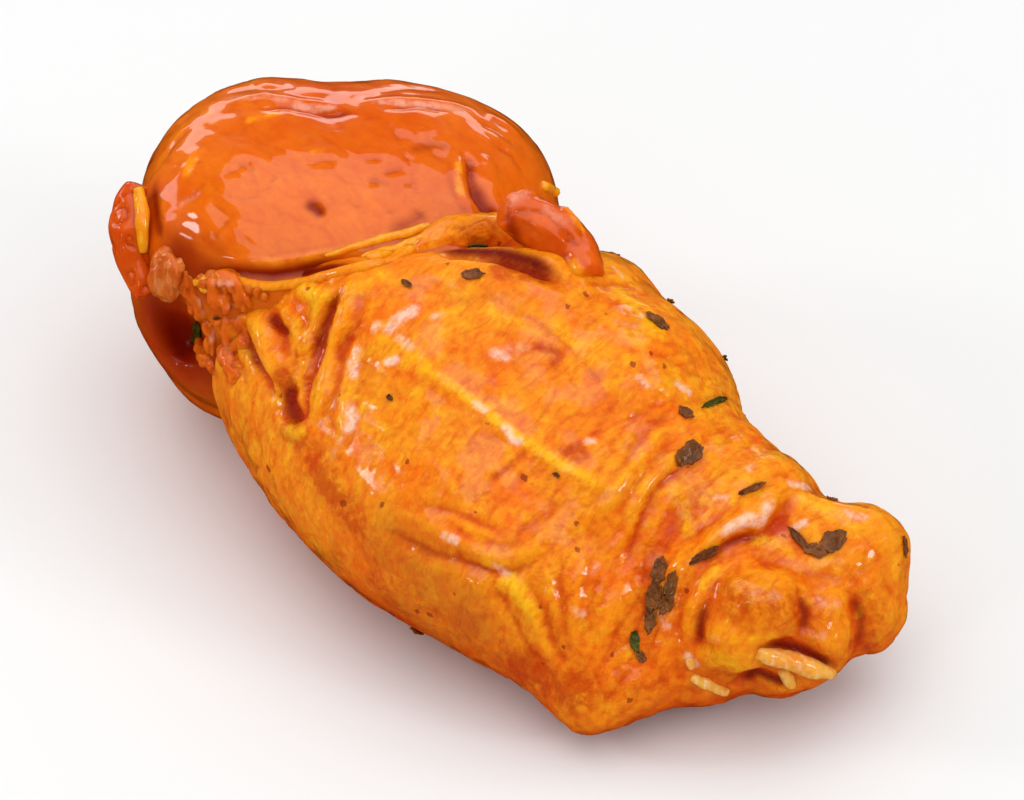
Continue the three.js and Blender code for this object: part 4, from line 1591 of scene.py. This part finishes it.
# %% The colours of the skin
SKIN_LAYERS = [
    # the share that each takes, and its colour
    (times(tree, broad, 0.5), linear(248, 116, 8)),
    (times(tree, fine, 0.58), linear(232, 86, 2)),
    (times(tree, streaks, 0.18), linear(232, 88, 4)),
    (times(tree, lines, 0.25), linear(222, 76, 2)),
    # ridges lighter: partly painted light
    (times(tree, marked(tree, "ridge"), 0.5), linear(255, 168, 24)),
    # hollows darker: painted shade, partly marinade
    (times(tree, marked(tree, "hollow"), 0.75), linear(200, 50, 0)),
    # painted shade on low skin that faces the table
    (low, linear(208, 60, 0)),
    # red marks, partly painted shade
    (red, linear(184, 40, 0)),
    # fat under the skin, and a little painted light on the neck
    (brush(tree, place, "fat", 0.9, 0.8), linear(255, 190, 20)),
    (times(tree, marked(tree, "dark"), 0.8), linear(190, 104, 22)),
    # painted highlights
    (brush(tree, place, "pale", 0.7, 0.75), linear(252, 212, 190)),
    (between(tree, pores, 0.5, 0.7, 0.0, 0.3), linear(222, 70, 0)),
    (times(tree, grains, 0.75), linear(140, 38, 4)),
    # painted shade in creases, gaps and under the lip
    (deep, linear(112, 8, 0)),
]
colour = shade(tree, patches, linear(249, 118, 5), linear(255, 200, 34))
fill(tree, shader, {"Base Color": layered(tree, colour, SKIN_LAYERS)})
print("laid", len(SKIN_LAYERS), "colours over the skin's first two")

# %% The wetness and the bumps of the skin
wet = between(tree, grain(tree, place, 380.0, 4.0), 0.48, 0.6, 0.12, 0.95)
not_deep = between(tree, total(tree, red, deep), 0.0, 0.9, 1.0, 0.04)
height = times(tree, grain(tree, across, 520.0, 2.0), 1.2)
height = total(tree, height, times(tree, grain(tree, place, 1500.0, 4.0, Roughness=0.6), 0.8))
for dip, depth in ((lines, 0.25), (streaks, 0.25), (pores, 0.45)):
    height = total(tree, height, times(tree, dip, depth), "SUBTRACT")
skin_look = {
    "Coat Weight": times(tree, wet, not_deep),
    "Roughness": between(tree, fine, 0, 1, 0.32, 0.5),
    "Normal": bumped(tree, height, 0.9, 0.26),
}
fill(tree, shader, skin_look)
for piece in (skin, edge):
    piece.data.materials.append(skin_material)
print("the skin's finish has", len(tree.nodes), "nodes")

# %% [markdown]
# ## The finish of bare meat
#
# The muscle is a deeper, browner red-orange and lets more light in than skin. Its film of marinade is
# smoother, so the overhead light lies on it as one clear patch with wavy edges. Fine bumps run along the
# fibres. Painted shade darkens its hollows, its pocket and its gaps, and painted highlights lie pale along
# its edges.

# %% Paint the meat
FIBRE_TURN, FIBRE_SCALE = 38, (450, 1300, 800)


def meat_finish(name, deep, bright, amber, film, wetness):
    """A finish for muscle, from its three colours, its film's roughness and how much film there is."""
    material, tree, shader, place = finish(name, film, 0.4, 2.0)
    patches, broad, fine = [mottled(tree, place, *look) for look in ((3.4, 0.9), (10.0, 1.0), (0.9, 0.9))]
    turn = (0, 0, math.radians(FIBRE_TURN))
    along = put(tree, "Mapping", {"Vector": place, "Rotation": turn, "Scale": FIBRE_SCALE}).outputs[0]
    fibres = grain(tree, along, 1.0, 4.0)
    red = times(tree, marked(tree, "red"), 0.9)
    layers = [
        (times(tree, broad, 0.6), amber),
        (times(tree, fine, 0.35), deep),
        (between(tree, fibres, 0.45, 0.75, 0.0, 0.35), deep),
        # hollows darker: painted shade, partly marinade
        (times(tree, marked(tree, "hollow"), 0.7), linear(170, 34, 0)),
        (brush(tree, place, "fat", 1.4, 0.7), linear(255, 164, 18)),
        # red marks, partly painted shade
        (red, linear(134, 16, 0)),
        # painted highlights
        (brush(tree, place, "pale", 0.9, 0.6), linear(240, 176, 150)),
    ]
    height = total(tree, grain(tree, place, 520.0, 3.0), times(tree, fibres, 0.4))
    look = {
        "Base Color": layered(tree, shade(tree, patches, deep, bright), layers),
        "Coat Weight": between(tree, red, 0.0, 0.9, wetness, 0.3),
        "Roughness": between(tree, patches, 0, 1, 0.28, 0.42),
        "Normal": bumped(tree, height, 0.5, 0.12),
    }
    fill(tree, shader, look)
    return material


MEATS = [
    # name, deep, bright and amber colour, roughness and amount of the film, pieces
    ("shoulder_meat", (214, 74, 4), (238, 110, 10), (242, 132, 10), 0.05, 1.0, [meat]),
    ("dark_meat", (192, 54, 2), (230, 96, 8), (238, 114, 12), 0.08, 0.8, [nub, strip]),
    ("torn_meat", (186, 50, 2), (236, 110, 14), (246, 138, 22), 0.08, 0.6, [shreds]),
]
for name, deep, bright, amber, film, wetness, pieces in MEATS:
    meat_material = meat_finish(name, linear(*deep), linear(*bright), linear(*amber), film, wetness)
    for piece in pieces:
        piece.data.materials.append(meat_material)
print("painted", len(MEATS), "kinds of meat")

# %% [markdown]
# ## The finish of fat, tendon and cartilage
#
# The fat is a clear orange-yellow, the tendon a dull brown-pink with pale threads, and the cartilage at the
# cut elbow a pale cream that the marinade has stained. All three are plain next to the skin: two colours in
# patches, and streaks along the part. They differ in nothing but their colours, so one function makes them.

# %% Paint the fat, the tendon and the cartilage
def plain_finish(name, light, dark, streak):
    """A finish for what is neither skin nor muscle, from its three colours."""
    material, tree, shader, place = finish(name, 0.1, 0.35, 1.6)
    patches = mottled(tree, place, 1.2, 1.0)
    along = put(tree, "Mapping", {"Vector": place, "Scale": (2200, 2200, 500)}).outputs[0]
    streaks = grain(tree, along, 1.0, 3.0)
    colour = shade(tree, patches, light, dark)
    look = {
        "Base Color": shade(tree, between(tree, streaks, 0.45, 0.75, 0.0, 0.5), colour, streak),
        "Coat Weight": 0.8,
        "Roughness": between(tree, patches, 0, 1, 0.25, 0.45),
        "Normal": bumped(tree, total(tree, patches, streaks), 0.4, 0.15),
    }
    fill(tree, shader, look)
    return material


PLAIN_ONES = [
    # name, light, dark and streak colour, pieces
    ("yellow_fat", (255, 172, 16), (246, 128, 8), (255, 198, 60), [fat_strip, fat_threads]),
    ("tendon", (222, 112, 30), (176, 62, 10), (238, 164, 96), [tendon]),
    ("cartilage", (254, 184, 80), (240, 138, 30), (255, 230, 180), [slivers]),
]
for name, light, dark, streak, pieces in PLAIN_ONES:
    plain_material = plain_finish(name, linear(*light), linear(*dark), linear(*streak))
    for piece in pieces:
        piece.data.materials.append(plain_material)
print("painted", len(PLAIN_ONES), "more")

# %% [markdown]
# ## The finish of the leaves and the floor
#
# Soaked crumbs of leaf are mostly dark brown, and a few are still green. The value that was kept on each leaf
# says how green it is, so one finish serves them all. Its veins are the borders between the cells of a
# pattern, and stand up only as bumps. The floor is plain and pale, so that nothing on it takes the eye.

# %% Paint the leaves
leaf_material, tree, shader, place = finish("dried_herb", 0.15, 0.1, 0.5)
patches = mottled(tree, place, 0.8, 1.0)
brown = shade(tree, patches, linear(84, 40, 14), linear(156, 88, 40))
green = shade(tree, patches, linear(52, 54, 6), linear(92, 92, 18))
veins = put(tree, "TexVoronoi", {"Vector": place, "Scale": 1500.0}, feature="DISTANCE_TO_EDGE").outputs[0]
leaf_look = {
    "Base Color": shade(tree, marked(tree, "green"), brown, green),
    "Coat Weight": 0.4,
    "Roughness": between(tree, patches, 0, 1, 0.4, 0.65),
    "Normal": bumped(tree, total(tree, patches, between(tree, veins, 0, 0.2)), 0.7, 0.12),
}
fill(tree, shader, leaf_look)
leaves.data.materials.append(leaf_material)
print("the leaves' finish has", len(tree.nodes), "nodes")

# %% Paint the floor
floor_material = bpy.data.materials.new("pale_floor")
floor_material.use_nodes = True
tree = floor_material.node_tree
patches = grain(tree, put(tree, "TexCoord").outputs["Object"], 3.0, 2.0)
colour = shade(tree, patches, (0.8, 0.8, 0.79, 1), (0.84, 0.84, 0.83, 1))
fill(tree, tree.nodes["Principled BSDF"], {"Base Color": colour, "Roughness": 0.6})
floor.data.materials.append(floor_material)
print("painted", len(bpy.data.materials), "finishes in all")

# %% [markdown]
# ## Hand the pieces over
#
# Each piece is told which part of the imported model it moves with. The skin takes the imported solid's
# place in the picture. The difference between the two boxes is printed, to compare the dressed piece's size
# with the imported one's.

# %% Tie the pieces to the frame
SLOTS = {
    skin: "marinated_skin",
    edge: "marinated_skin",
    meat: "shoulder_meat",
    nub: "shoulder_meat",
    strip: "shoulder_meat",
    shreds: "shoulder_meat",
    fat_strip: "soft_fat",
    fat_threads: "soft_fat",
    tendon: "cartilage",
    slivers: "cartilage",
    leaves: "dried_herb",
}
for piece, slot in SLOTS.items():
    only(piece)
    bpy.ops.object.shade_smooth()
    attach(piece, "root")
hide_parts("wing")
print("handed over", len(SLOTS), "pieces")

# %% Compare the sizes and finish
visual_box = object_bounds()
past = [[round((v - c) / MM, 2) for v, c in zip(*corners)] for corners in zip(visual_box, cad_box)]
print("the dressed box less the packed one, in millimetres:", past)
